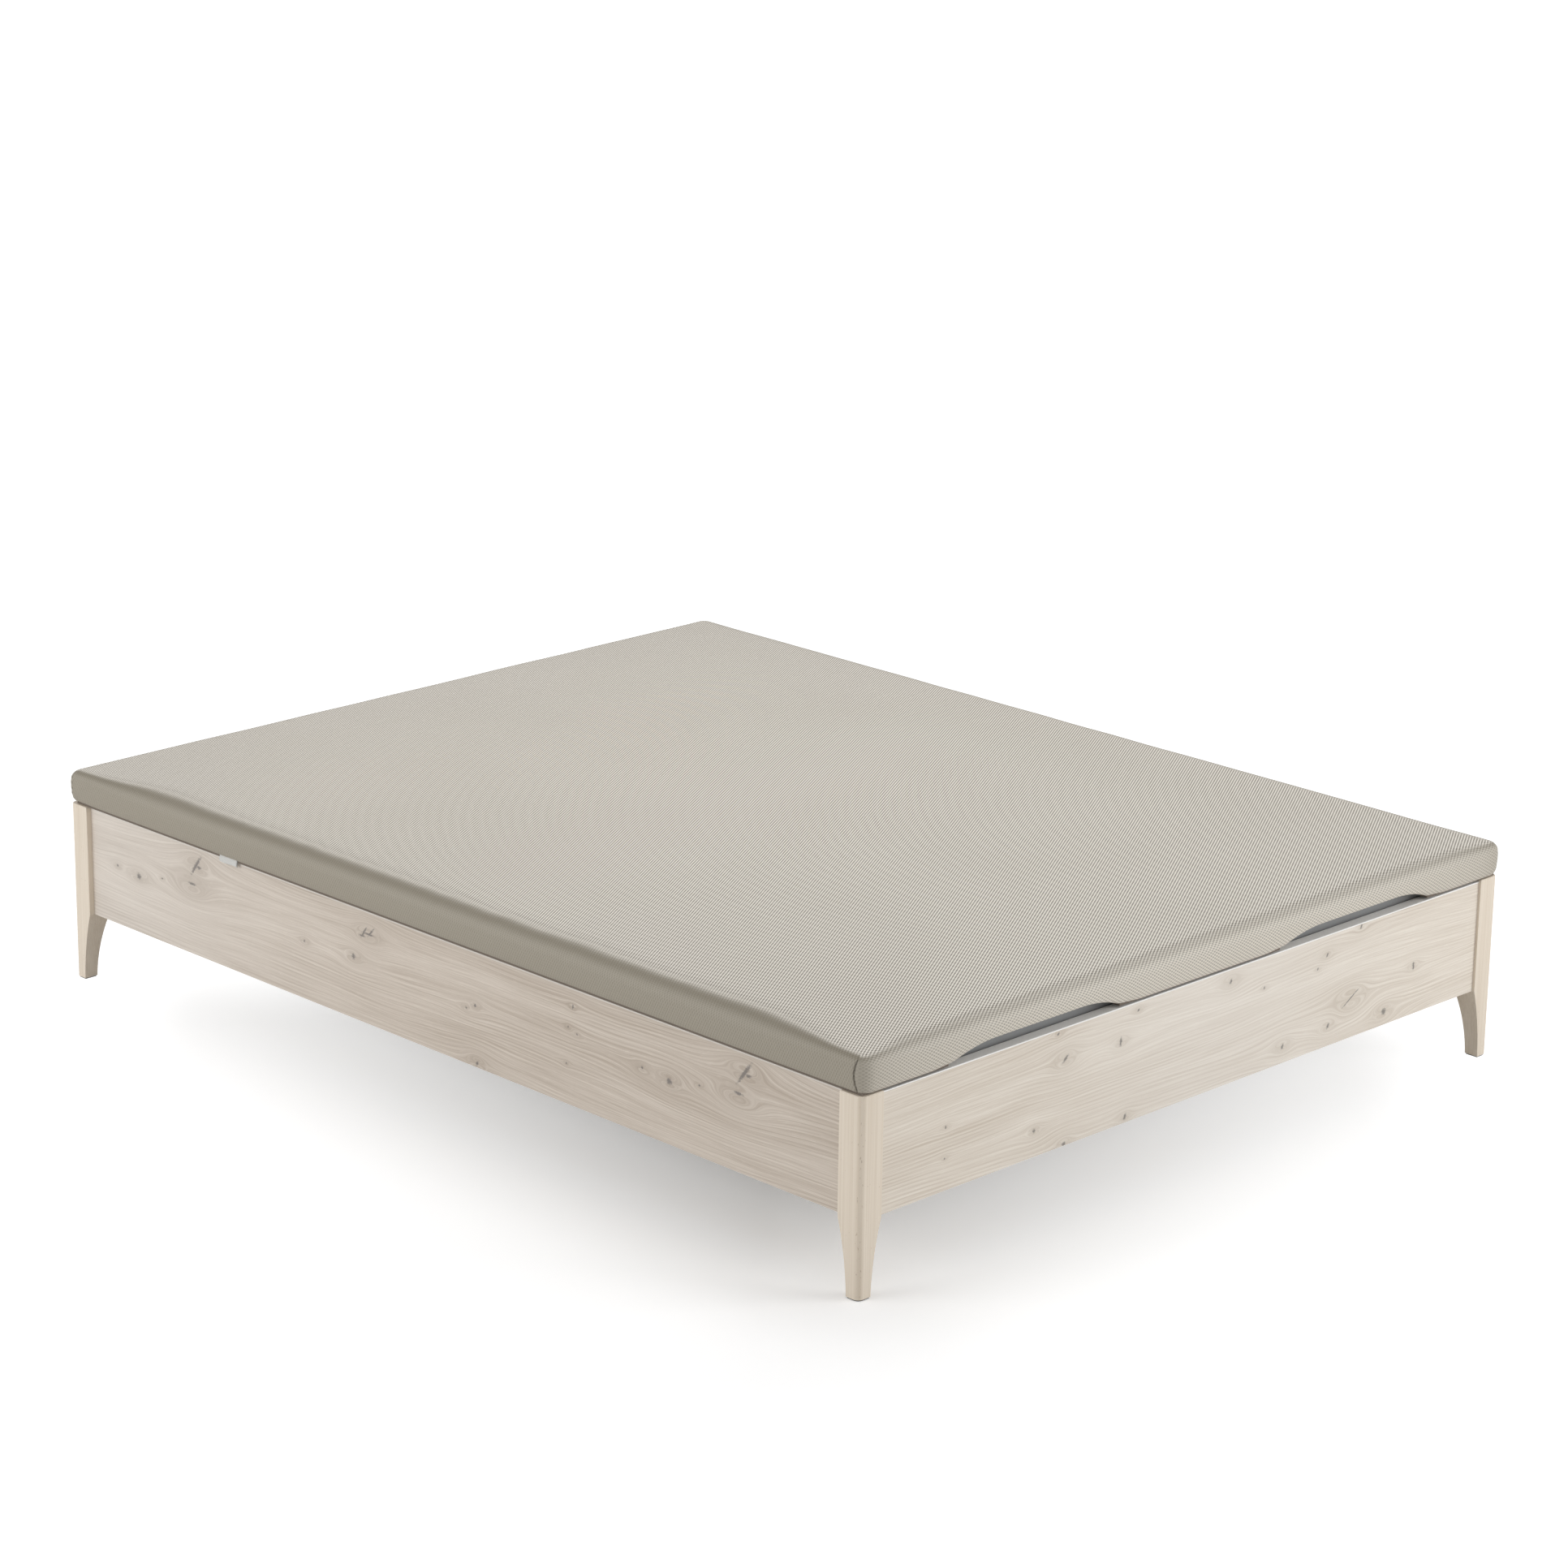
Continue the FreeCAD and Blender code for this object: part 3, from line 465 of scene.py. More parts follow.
def new_finish(name, roughness, specular=0.5, metallic=0.0):
    """New material; what is the same all over it is set on the shader's own sockets."""
    material = bpy.data.materials.new(name)
    material.use_nodes = True
    finishes[name] = material
    shader = material.node_tree.nodes["Principled BSDF"].inputs
    shader["Roughness"].default_value = roughness
    shader["Specular IOR Level"].default_value = specular
    shader["Metallic"].default_value = metallic
    return Nodes(material.node_tree), shader


def put_bump(build, shader, height, strength, distance):
    inputs = {"Strength": strength, "Distance": distance, "Height": height}
    build.put(shader["Normal"], build.add("ShaderNodeBump", inputs))


def object_point(build):
    return build.add("ShaderNodeTexCoord").outputs["Object"]


def oak_board(name, along_x, knots, pale, dark, painted_light, shift=0.0):
    """Knotty oak along X or Y, the grain swinging round each knot, and paled over one given stretch by a
    painted pool of light.
    """
    painted_light_oak = (0.92, 0.89, 0.85)
    knot_brown = (0.18, 0.166, 0.158)
    highlit_oak = (0.90, 0.86, 0.79)
    build, shader = new_finish(name, 0.52, specular=0.32)
    x, y, z = build.split(object_point(build))
    along = (x if along_x else y) + shift
    drift = build.noise(build.join(along * 1.6, z * 9.0), 1.0, 2.0)
    across = z + (drift - 0.5) * 0.03
    rough = (build.noise(build.join(along * 260.0, z * 330.0), 1.0, 2.0) - 0.5) * 1.6
    core = 0.0
    cloud = 0.0
    for place, height, swing, half_length, half_height, lean in knots:
        one = build.group(knot, Along=along, Across=z, Knot_Along=place, Knot_Across=height, Swing=swing,
                          Half_Length=half_length, Half_Height=half_height, Lean=lean, Rough=rough)
        across = across - one["Bend"]
        core = build.math("MAXIMUM", one["Core"], core)
        cloud = build.math("MAXIMUM", one["Cloud"], cloud)
    grain = build.group(wood_grain, Along=along, Across=across, Depth=y if along_x else x)
    tone = grain["Bands"] * 0.20 + grain["Streaks"] * 0.32 + grain["Fine"] * 0.40 + grain["Lines"] * 0.30
    tone = (tone - grain["Pores"] * 0.20 + cloud * 0.14).clamped()
    colour = build.mix(tone, pale, dark)
    # Painted pool of light: the print is paled most in the middle of the given stretch
    middle, half, share = painted_light
    away = (along - middle) / half
    light_patch = build.math("EXPONENT", away * away * -1.0)
    colour = build.mix(light_patch * share, colour, painted_light_oak)
    colour = build.mix(cloud * 0.24, colour, [0.80 * part for part in dark])
    colour = build.mix(core * 0.82, colour, knot_brown)
    # Sharp edges paled: a painted highlight
    colour = build.mix(build.group(edge_highlight)["Mask"] * 0.35, colour, highlit_oak)
    build.put(shader["Base Color"], colour)
    build.put(shader["Roughness"], grain["Streaks"] * 0.14 + 0.46)
    put_bump(build, shader, 1.0 - build.math("MAXIMUM", grain["Pores"], core), 0.25, 0.0004)


def leg_wood(name):
    """Whitened beech: upright grain, with small flecks that gather on the rounded outer corner."""
    pale = (0.860, 0.770, 0.655)
    dark = (0.740, 0.640, 0.520)
    fleck_brown = (0.36, 0.26, 0.18)
    highlit_beech = (0.90, 0.85, 0.76)
    build, shader = new_finish(name, 0.42, specular=0.38)
    point = object_point(build)
    x, y, z = build.split(point)
    grain = build.group(wood_grain, Along=z, Across=x + y * 0.8, Depth=x - y)
    out_x, out_y = [
        build.ramp(build.math("ABSOLUTE", place), reach - leg_fleck_start, reach - leg_fleck_full)
        for place, reach in ((x, leg_corner.x), (y, leg_corner.y))]
    corner = out_x * out_y
    fleck_at = build.add("ShaderNodeMapping", {"Vector": point, "Scale": (420.0, 420.0, 150.0)})
    fleck = build.ramp(build.noise(fleck_at, 1.0, 1.0, 0.4), 0.75 - corner * 0.10, 0.78)
    tone = (grain["Streaks"] * 0.55 + grain["Bands"] * 0.35 + corner * 0.35).clamped()
    colour = build.mix(tone, pale, dark)
    colour = build.mix(fleck * 0.55, colour, fleck_brown)
    # Sharp edges paled: a painted highlight
    colour = build.mix(build.group(edge_highlight)["Mask"] * 0.45, colour, highlit_beech)
    build.put(shader["Base Color"], colour)
    build.put(shader["Roughness"], grain["Streaks"] * 0.12 + 0.38)
    put_bump(build, shader, 1.0 - build.math("MAXIMUM", grain["Pores"], fleck), 0.18, 0.0003)


def plain_timber(name, pale, dark):
    """Planed softwood battens and blocks inside the box."""
    build, shader = new_finish(name, 0.62, specular=0.25)
    x, y, z = build.split(object_point(build))
    grain = build.group(wood_grain, Along=(x + y) * 0.7, Across=z + (x - y) * 0.5, Depth=y - x)
    tone = grain["Lines"] * 0.6 + grain["Streaks"] * 0.4
    build.put(shader["Base Color"], build.mix(tone, pale, dark))
    put_bump(build, shader, grain["Streaks"], 0.2, 0.0004)


def faced_board(name, pale, dark):
    """Fibreboard with a pale paper face and a faint mottle."""
    build, shader = new_finish(name, 0.6, specular=0.3)
    point = object_point(build)
    cloudy = build.noise(point, 7.0, 3.0)
    speck = build.ramp(build.noise(point, 520.0, 2.0), 0.56, 0.72)
    build.put(shader["Base Color"], build.mix(cloudy * 0.6 + speck * 0.4, pale, dark))
    build.put(shader["Roughness"], cloudy * 0.2 + 0.5)
    put_bump(build, shader, speck, 0.12, 0.0003)


def edge_band(name):
    """Pale plastic band along the boards' top edges, darkened by painted shade on the long boards."""
    pale = (1.0, 0.995, 0.98)
    streak = (0.97, 0.96, 0.94)
    dull = (0.66, 0.60, 0.53)
    build, shader = new_finish(name, 0.4, specular=0.45)
    x, y, z = build.split(object_point(build))
    grain = build.group(wood_grain, Along=x + y, Across=x - y, Depth=z)
    colour = build.mix(grain["Streaks"], pale, streak)
    # Painted shade: the long boards' bands are darkened
    long_side_shade = build.ramp(build.math("ABSOLUTE", x), side_band_inner, side_band_full)
    build.put(shader["Base Color"], build.mix(long_side_shade * 0.7, colour, dull))


def speckled(name, base, fleck, roughness, scale, depth=0.0003, specular=0.5):
    """Moulded, powder-coated or foam surface: a fine orange-peel grain with a slight mottle."""
    highlit = [min(1.0, 1.5 * part + 0.03) for part in base]
    build, shader = new_finish(name, roughness, specular)
    point = object_point(build)
    fine = build.noise(point, scale, 2.0)
    broad = build.noise(point, scale * 0.04, 2.0)
    colour = build.mix(build.ramp(fine * 0.6 + broad * 0.4, 0.35, 0.65), base, fleck)
    # Sharp edges paled: a painted highlight
    colour = build.mix(build.group(edge_highlight)["Mask"] * 0.25, colour, highlit)
    build.put(shader["Base Color"], colour)
    build.put(shader["Roughness"], broad * 0.16 + (roughness - 0.08))
    put_bump(build, shader, fine, 0.3, depth)


def plated_steel(name, base, dull, roughness, streak):
    """Bare or plated metal with fine drawing lines and slight clouding."""
    build, shader = new_finish(name, roughness, metallic=1.0)
    point = object_point(build)
    lines = build.noise(build.add("ShaderNodeMapping", {"Vector": point, "Scale": streak}), 1.0, 2.0)
    cloudy = build.noise(point, 60.0, 3.0)
    build.put(shader["Base Color"], build.mix(build.ramp(lines * 0.5 + cloudy * 0.5, 0.35, 0.65), base, dull))
    build.put(shader["Roughness"], lines * 0.14 + (roughness - 0.06))
    put_bump(build, shader, lines, 0.08, 0.0002)


def cover_cloth(name):
    """Taupe spacer fabric: staggered holes, deep on the flat top, shallow down the sides; painted shade
    darkens the sides, the long sides most, and the rim.
    """
    dark_yarn = (0.85, 0.795, 0.705)
    pale_yarn = (0.985, 0.94, 0.865)
    mottle = (0.62, 0.565, 0.48)
    shaded_turned_yarn = (0.50, 0.46, 0.385)
    hole_shade = (0.135, 0.117, 0.090)
    rim_shade = (0.13, 0.112, 0.082)
    painted_side_shade = (0.215, 0.186, 0.134)
    seam_shade = (0.06, 0.052, 0.040)
    build, shader = new_finish(name, 0.85, specular=0.2)
    shader["Sheen Weight"].default_value = 0.10
    shader["Sheen Roughness"].default_value = 0.5
    flat = build.term("ShaderNodeUVMap", uv_map="cloth")
    state = build.add("ShaderNodeAttribute", attribute_name="drawn").outputs
    rim, flank, smooth = build.terms("ShaderNodeSeparateColor", {0: state["Color"]})
    seam = Term(build, state["Alpha"])
    # Painted shade down the sides: where the cloth has turned its yarn is darker, and the long sides and
    # corners darker still
    turned = build.ramp(flank, 0.0, end_flank)
    dull = build.ramp(flank, end_flank, 1.0)
    mesh = build.group(open_mesh, Flat=flat, Opening=rim * 0.35)
    broad = build.ramp(build.noise(flat, 2.2, 2.0), 0.3, 0.7)
    yarn = build.mix(mesh["Yarn"], dark_yarn, pale_yarn)
    yarn = build.mix(broad * 0.08, yarn, mottle)
    yarn = build.mix(turned * 0.26, yarn, shaded_turned_yarn)
    depth = 1.0 - turned * 0.50 - dull * 0.16 + rim * 0.22
    depth = (depth * (1.0 - smooth * 0.85)).clamped()
    colour = build.mix(mesh["Hole"] * depth, yarn, hole_shade)
    # The rim's dark band over the roll is painted shade, strongest on the long sides; its opened holes come
    # from the stretch
    colour = build.mix(rim * (dull * 0.50 + 0.06), colour, rim_shade)
    colour = build.mix(dull * 0.68, colour, painted_side_shade)
    colour = build.mix(seam * 0.75, colour, seam_shade)
    build.put(shader["Base Color"], colour)
    put_bump(build, shader, mesh["Height"] + mesh["Yarn"] * 0.3, 0.35, 0.0010)


def woven_cloth(name, warp, weft, pitch):
    """Plain close weave for the tab and the sewing thread."""
    build, shader = new_finish(name, 0.8, specular=0.25)
    y, z = build.split(object_point(build))[1:]
    over = build.math("SINE", y * (2 * math.pi / pitch))
    under = build.math("SINE", z * (2 * math.pi / pitch))
    cross = build.ramp(over * under, -0.6, 0.6)
    build.put(shader["Base Color"], build.mix(cross, warp, weft))
    put_bump(build, shader, cross, 0.4, 0.0002)


# The long boards' oak is a darker copy of the end boards' oak: painted shade on the long sides
side_oak_shaded = ((0.760, 0.684, 0.604), (0.500, 0.424, 0.352))
end_oak = ((0.930, 0.868, 0.780), (0.650, 0.565, 0.470))
oak_board("side_oak_left", False, side_knots, *side_oak_shaded, side_painted_light)
oak_board("side_oak_right", False, side_knots, *side_oak_shaded, side_painted_light, right_print_shift)
oak_board("foot_oak", True, end_knots, *end_oak, end_painted_light)
oak_board("head_oak", True, end_knots, *end_oak, end_painted_light, head_print_shift)
leg_wood("leg_wood")
edge_band("edge_band")
plain_timber("frame_timber", (0.72, 0.56, 0.36), (0.55, 0.38, 0.21))
faced_board("floor_fibreboard", (0.70, 0.68, 0.65), (0.58, 0.56, 0.53))
faced_board("lid_fibreboard", (0.72, 0.70, 0.67), (0.60, 0.58, 0.55))
cover_cloth("cover_mesh")
speckled("foam", (0.86, 0.83, 0.74), (0.74, 0.70, 0.60), 0.9, 900.0, 0.0008)
speckled("rest_strip", (0.222, 0.187, 0.157), (0.193, 0.163, 0.137), 0.85, 700.0, specular=0.1)
woven_cloth("tab_cloth", (0.78, 0.78, 0.76), (0.60, 0.60, 0.58), 0.0009)
woven_cloth("seam_thread", (0.36, 0.33, 0.28), (0.24, 0.22, 0.18), 0.0007)
speckled("grey_steel", (0.300, 0.306, 0.312), (0.275, 0.281, 0.287), 0.45, 1300.0, 0.0001)
plated_steel("zinc_steel", (0.72, 0.72, 0.70), (0.56, 0.56, 0.55), 0.36, (300.0, 90.0, 300.0))
speckled("strut_black", (0.020, 0.020, 0.021), (0.030, 0.030, 0.031), 0.3, 900.0, 0.00005)
plated_steel("strut_chrome", (0.80, 0.80, 0.80), (0.72, 0.72, 0.72), 0.14, (120.0, 900.0, 900.0))
speckled("dark_plastic", (0.055, 0.055, 0.056), (0.075, 0.075, 0.076), 0.55, 1100.0, 0.0001)

node_finishes = {
    "side_board_left": "side_oak_left",
    "side_board_right": "side_oak_right",
    "foot_board": "foot_oak",
    "head_board": "head_oak",
    "board_edge_bands": "edge_band",
    "lid_board": "lid_fibreboard",
    "lid_rest_strips": "rest_strip",
    "leg_glides": "dark_plastic",
    "lid_air_vents": "dark_plastic",
}
name_finishes = (
    ("leg_", "leg_wood"),
    ("centre_leg", "leg_wood"),
    ("floor_panel", "floor_fibreboard"),
    ("strut_cylinder", "strut_black"),
    ("strut_rod", "strut_chrome"),
    ("lid_tube", "grey_steel"),
    ("lid_crossbar", "grey_steel"),
    ("hinge_block", "frame_timber"),
    ("corner_blocks", "frame_timber"),
    ("floor_cleat_screws", "zinc_steel"),
    ("floor_cleat", "frame_timber"),
    ("floor_beam", "frame_timber"),
    ("board_dowels", "frame_timber"),
    ("lid_rim", "frame_timber"),
)


def finish_of(name):
    """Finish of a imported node: its own, or the one of the first family whose name it starts with."""
    if name in node_finishes:
        return node_finishes[name]
    for start, finish in name_finishes:
        if name.startswith(start):
            return finish
    return "zinc_steel"


for name, solid in nodes.items():
    solid.data.materials.clear()
    solid.data.materials.append(finishes[finish_of(name)])


# Building blocks for pieces

def new_mesh(name, verts, edges, faces):
    mesh = bpy.data.meshes.new(name)
    mesh.from_pydata(verts, edges, faces)
    return mesh


def linked(name, data):
    """New object in the scene, at the origin."""
    made = bpy.data.objects.new(name, data)
    bpy.context.scene.collection.objects.link(made)
    return made


def new_piece(name, mesh, finish, smooth=True):
    """Object for a finished mesh."""
    piece = linked(name, mesh)
    mesh.materials.clear()
    mesh.materials.append(finishes[finish])
    if smooth:
        mesh.shade_smooth()
    return piece


def tidy_mesh(mesh):
    """Joins points that coincide and turns every face outwards."""
    shell = bmesh.new()
    shell.from_mesh(mesh)
    bmesh.ops.remove_doubles(shell, verts=shell.verts, dist=tiny)
    bmesh.ops.recalc_face_normals(shell, faces=shell.faces)
    shell.to_mesh(mesh)
    shell.free()
    return mesh


def smooth_step(value):
    value = min(1.0, max(0.0, value))
    return value * value * (3 - 2 * value)


def wobble(x, y, scale, layer):
    """Smooth uneven number for a place, the same each run; each layer has its own pattern."""
    return noise.noise(Vector((x * scale, y * scale, layer)))


# The lid's cover

lid_reach_x = cover_high.x
lid_reach_y = cover_high.y
lid_bottom = cover_low.z
lid_top = cover_high.z
corner_x = lid_reach_x - lid_corner_radius
corner_y = lid_reach_y - lid_corner_radius


def recess_lift(x):
    """How far the cover's lower edge rises at a place along the foot side."""
    off = abs(abs(x) - recess_centre)
    if off >= recess_foot_half:
        return 0.0
    run = recess_foot_half - recess_top_half
    radius = (run * run + recess_height * recess_height) / (2 * recess_height)
    past = max(0.0, off - recess_top_half)
    return recess_height - radius + math.sqrt(radius * radius - past * past)


def foot_sag(x):
    """How far the cover hangs below the lid's underside along the foot side: nowhere in the recesses."""
    return lid_foot_sag * smooth_step((abs(abs(x) - recess_centre) - recess_foot_half) / lid_foot_sag_blend)


def side_sag(y):
    """How far the cover hangs below the lid's underside along a long side: nowhere at the head end."""
    return lid_side_sag * smooth_step((corner_y - y) / lid_side_sag_blend)


def roll_size(x, y, long_side):
    """Width and drop of the rolled rim at a place: wide along the left and foot sides, tight elsewhere."""
    if long_side:
        width = lid_left_roll_width
        share = (lid_reach_y - abs(y) - lid_corner_radius) / lid_left_roll_blend
    else:
        width = lid_foot_roll_width
        share = (lid_reach_x - abs(x) - lid_corner_radius) / lid_foot_roll_blend
    if (x if long_side else y) > 0:
        share = 0.0
    share = smooth_step(share)
    wander = wobble(x, y, 11.0, 7.0) + 0.5 * wobble(x, y, 31.0, 3.0)
    width = lid_corner_roll_width + share * (width - lid_corner_roll_width + lid_roll_wander * wander)
    return width, lid_corner_roll_drop + share * (lid_roll_drop - lid_corner_roll_drop)


def top_roll(x, y):
    """How far over the rim a place on the top lies, from 0 on the flat, and the drop of the whole roll."""
    width_x, drop_x = roll_size(x, y, True)
    width_y, drop_y = roll_size(x, y, False)
    over_x = max(0.0, 1 - (lid_reach_x - abs(x)) / width_x)
    over_y = max(0.0, 1 - (lid_reach_y - abs(y)) / width_y)
    return min(1.0, math.hypot(over_x, over_y)), drop_x if over_x > over_y else drop_y


def top_height(x, y):
    """Height of the lid's top: flat, rolling down to its edges, with the unevenness of stretched fabric."""
    over, drop = top_roll(x, y)
    edge = min(corner_x - abs(x), corner_y - abs(y))
    near_edge = math.exp(-max(edge, 0.0) / lid_rim_wave_reach)
    wave = wobble(x, y, 9.0, 0.3) * (lid_top_wave + lid_rim_wave * near_edge)
    fall = drop * (1 - math.sqrt(1 - over * over))
    return lid_top - lid_top_ease + wave - fall


class Column:
    """One upright section of the cover: where it starts on the top, which way it faces and its lower edge."""

    def __init__(self, x, y, way, lift=0.0, sag=0.0, tuck=lid_tuck_width, lip=0.0):
        self.x = x
        self.y = y
        self.way = way
        self.lift = lift
        self.sag = sag
        self.tuck = tuck
        self.lip = lip
        self.over, self.drop = top_roll(x, y)
        if way[0] and way[1]:
            self.width = lid_corner_roll_width
            self.drop = lid_corner_roll_drop
        else:
            self.width, self.drop = roll_size(x, y, way[0] != 0)

    def ceiling(self):
        """Height of the cloth's underside where the section starts."""
        return min(cover_ceiling, top_height(self.x, self.y) - cover_ceiling_gap)

    def section(self):
        """Reach and height of each point, from the top over the rim, down, under and back up inside."""
        start = top_height(self.x, self.y)
        flat_top = start + self.drop * (1 - math.sqrt(1 - self.over * self.over))
        wander = noise.noise(Vector((self.x * 6.0 + self.way[0], self.y * 6.0 + self.way[1], 4.0)))
        raised = min(1.0, self.lift / recess_height)
        tuck_width = self.tuck + (recess_tuck_width - self.tuck) * raised
        tuck_height = lid_tuck_height + (recess_tuck_height - lid_tuck_height) * raised
        bottom = lid_bottom + self.lift
        side = lid_corner_radius - lid_side_bulge
        points = [(0.0, start)]
        first_turn = math.asin(self.over)
        for step in range(1, rim_last + 1):
            turn = first_turn + (math.pi / 2 - first_turn) * step / rim_last
            reach = side - min(self.width, side / (1 - self.over)) * (1 - math.sin(turn))
            points.append((reach, flat_top - self.drop * (1 - math.cos(turn))))
        high = flat_top - self.drop
        low = bottom - self.sag + tuck_height
        for step in range(1, side_parts):
            share = step / side_parts
            swell = lid_side_bulge * 4 * share * (1 - share) + lid_side_wave * wander * share
            points.append((side + swell, high + (low - high) * share))
        for step in range(tuck_parts + 1):
            turn = step / tuck_parts * math.pi / 2
            points.append((side - tuck_width * (1 - math.cos(turn)), low - tuck_height * math.sin(turn)))
        lip_start = side - tuck_width - lid_lip_step
        inner = max(lid_corner_radius - lid_wall_thickness, self.lip)
        points.extend((reach, bottom) for reach in (lip_start, (lip_start + self.lip) / 2, self.lip))
        points.extend((reach, bottom + lid_cloth_thickness) for reach in (self.lip, inner))
        points.append((inner, high + lid_wall_rise * self.drop))
        points.append((0.0, self.ceiling()))
        return points


def corner_seam(number):
    """Angle of a corner's seam from the side before it; each seam lies near the long side."""
    return seam_turn if number % 2 == 0 else math.pi / 2 - seam_turn


def fan_turns(seam):
    """Angles inside a quarter corner, closer together beside its seam."""
    shares = [(step / fan_parts) ** fan_crowding for step in range(1, fan_parts)]
    before = [seam * (1 - share) for share in shares[::-1]]
    after = [seam + (math.pi / 2 - seam) * share for share in shares]
    return before + [seam] + after


def edge_marks(reach):
    """Places across the lid from one corner line to the other, close together near both."""
    dense = lid_column_pitch * 3
    count = round(2 * (reach - dense) / lid_column_pitch)
    middle = np.linspace(dense - reach, reach - dense, count + 1)
    steps = np.arange(0.0, dense - tiny, lid_edge_pitch)
    return np.concatenate([steps - reach, middle, (reach - steps)[::-1]])


def cover_columns():
    """Marks across and along the lid, and the columns of each side in turn from the left foot corner."""
    xs = edge_marks(corner_x)
    ys = edge_marks(corner_y)
    foot = [Column(x, -corner_y, (0.0, -1.0), recess_lift(x), foot_sag(x)) for x in xs]
    right = [Column(corner_x, y, (1.0, 0.0), sag=side_sag(y)) for y in ys]
    head = []
    for x in xs[::-1]:
        if hinge_gap_span[0] < abs(x) < hinge_gap_span[1]:
            head.append(Column(x, corner_y, (0.0, 1.0), tuck=hinge_gap_tuck, lip=hinge_gap_lip))
        else:
            head.append(Column(x, corner_y, (0.0, 1.0)))
    left = [Column(-corner_x, y, (-1.0, 0.0), sag=side_sag(y)) for y in ys[::-1]]
    return xs, ys, [foot, right, head, left]


def corner_fan(end, after, seam):
    """Columns between one side's last column and the next side's first, with their angle."""
    start = math.atan2(end.way[1], end.way[0])
    return [(turn, Column(end.x, end.y, (math.cos(start + turn), math.sin(start + turn)),
                          sag=end.sag + (after.sag - end.sag) * turn * 2 / math.pi))
            for turn in fan_turns(seam)]


def sewn_share(index):
    """How much of a seam there is at a point of a section: none on the top, all of it on the side."""
    begun = smooth_step((index - seam_first_point) / seam_start_points)
    return begun * smooth_step((outer_last - index) / seam_end_points)


def seam_shape(points, gap):
    """Section beside a corner seam: sunk along the seam, puckered next to it."""
    shaped = []
    for index, (reach, z) in enumerate(points):
        sink = seam_depth * math.exp(-(gap / seam_half_width) ** 2)
        ripple = math.sin(z * 2 * math.pi / seam_pucker_pitch + (gap > 0) * seam_pucker_shift)
        pucker = seam_pucker * math.exp(-abs(gap) / seam_pucker_reach) * ripple
        shaped.append((reach - sewn_share(index) * (sink - pucker), z))
    return shaped


def seam_spin(column, seam_gap, z):
    """Turn of a point round its corner: the seam bows towards the long side halfway down, and wavers."""
    near = max(0.0, 1 - abs(seam_gap) / ((math.pi / 2 - seam_turn) * lid_corner_radius))
    share = (lid_top - z) / (lid_top - lid_bottom)
    bow = math.cos(2 * math.pi * min(1.0, max(0.0, share))) + seam_bow_lean
    waver = seam_waver * wobble(column.x, column.y, 3.0, z * 130.0)
    mirror = -1.0 if column.x * column.y < 0 else 1.0
    return seam_bow * near * mirror * (bow + waver)


def lengths_along(points):
    """Distance along a section from its first point."""
    total = [0.0]
    for first, second in zip(points, points[1:]):
        total.append(total[-1] + math.dist(first, second))
    return total


def rim_state(over, long_side):
    """How much of the rim's painted shade and stretched-open holes shows, and how far the cloth has turned,
    over the roll and just inside it.
    """
    if long_side:
        over = 1 - (1 - over) / long_rim_stretch
    rise, end, fall, turn_start, turn_run = long_rim_shade if long_side else end_rim_shade
    rim = smooth_step(over / rise) * smooth_step((end - over) / fall)
    return rim, smooth_step((over - turn_start) / turn_run)


def drawn_and_shaded_state(index, way, column, gap):
    """Rim, flank, closeness and seam of the cloth at a point of a section, some way from the next seam; rim
    and flank also set its painted shade.
    """
    first_turn = math.asin(column.over)
    over = math.sin(first_turn + (math.pi / 2 - first_turn) * min(1.0, index / rim_last))
    rim, turned = rim_state(over, way[0] != 0)
    if index > rim_last:
        rim = 0.0
    close = 0.5 * math.exp(-gap / corner_shade_near) + 0.5 * math.exp(-gap / corner_shade_far)
    flank = turned * (1.0 if way[0] else end_flank + (corner_flank - end_flank) * close)
    seam = sewn_share(index) * math.exp(-(gap / seam_half_width) ** 2)
    return rim, flank, turned * math.exp(-gap / corner_smooth_reach) * (way[0] == 0), seam


def on_cloth(x, y):
    """Cloth coordinate of a place: the knit is drawn longer towards the foot end."""
    return x, y * (1 + mesh_stretch * y)


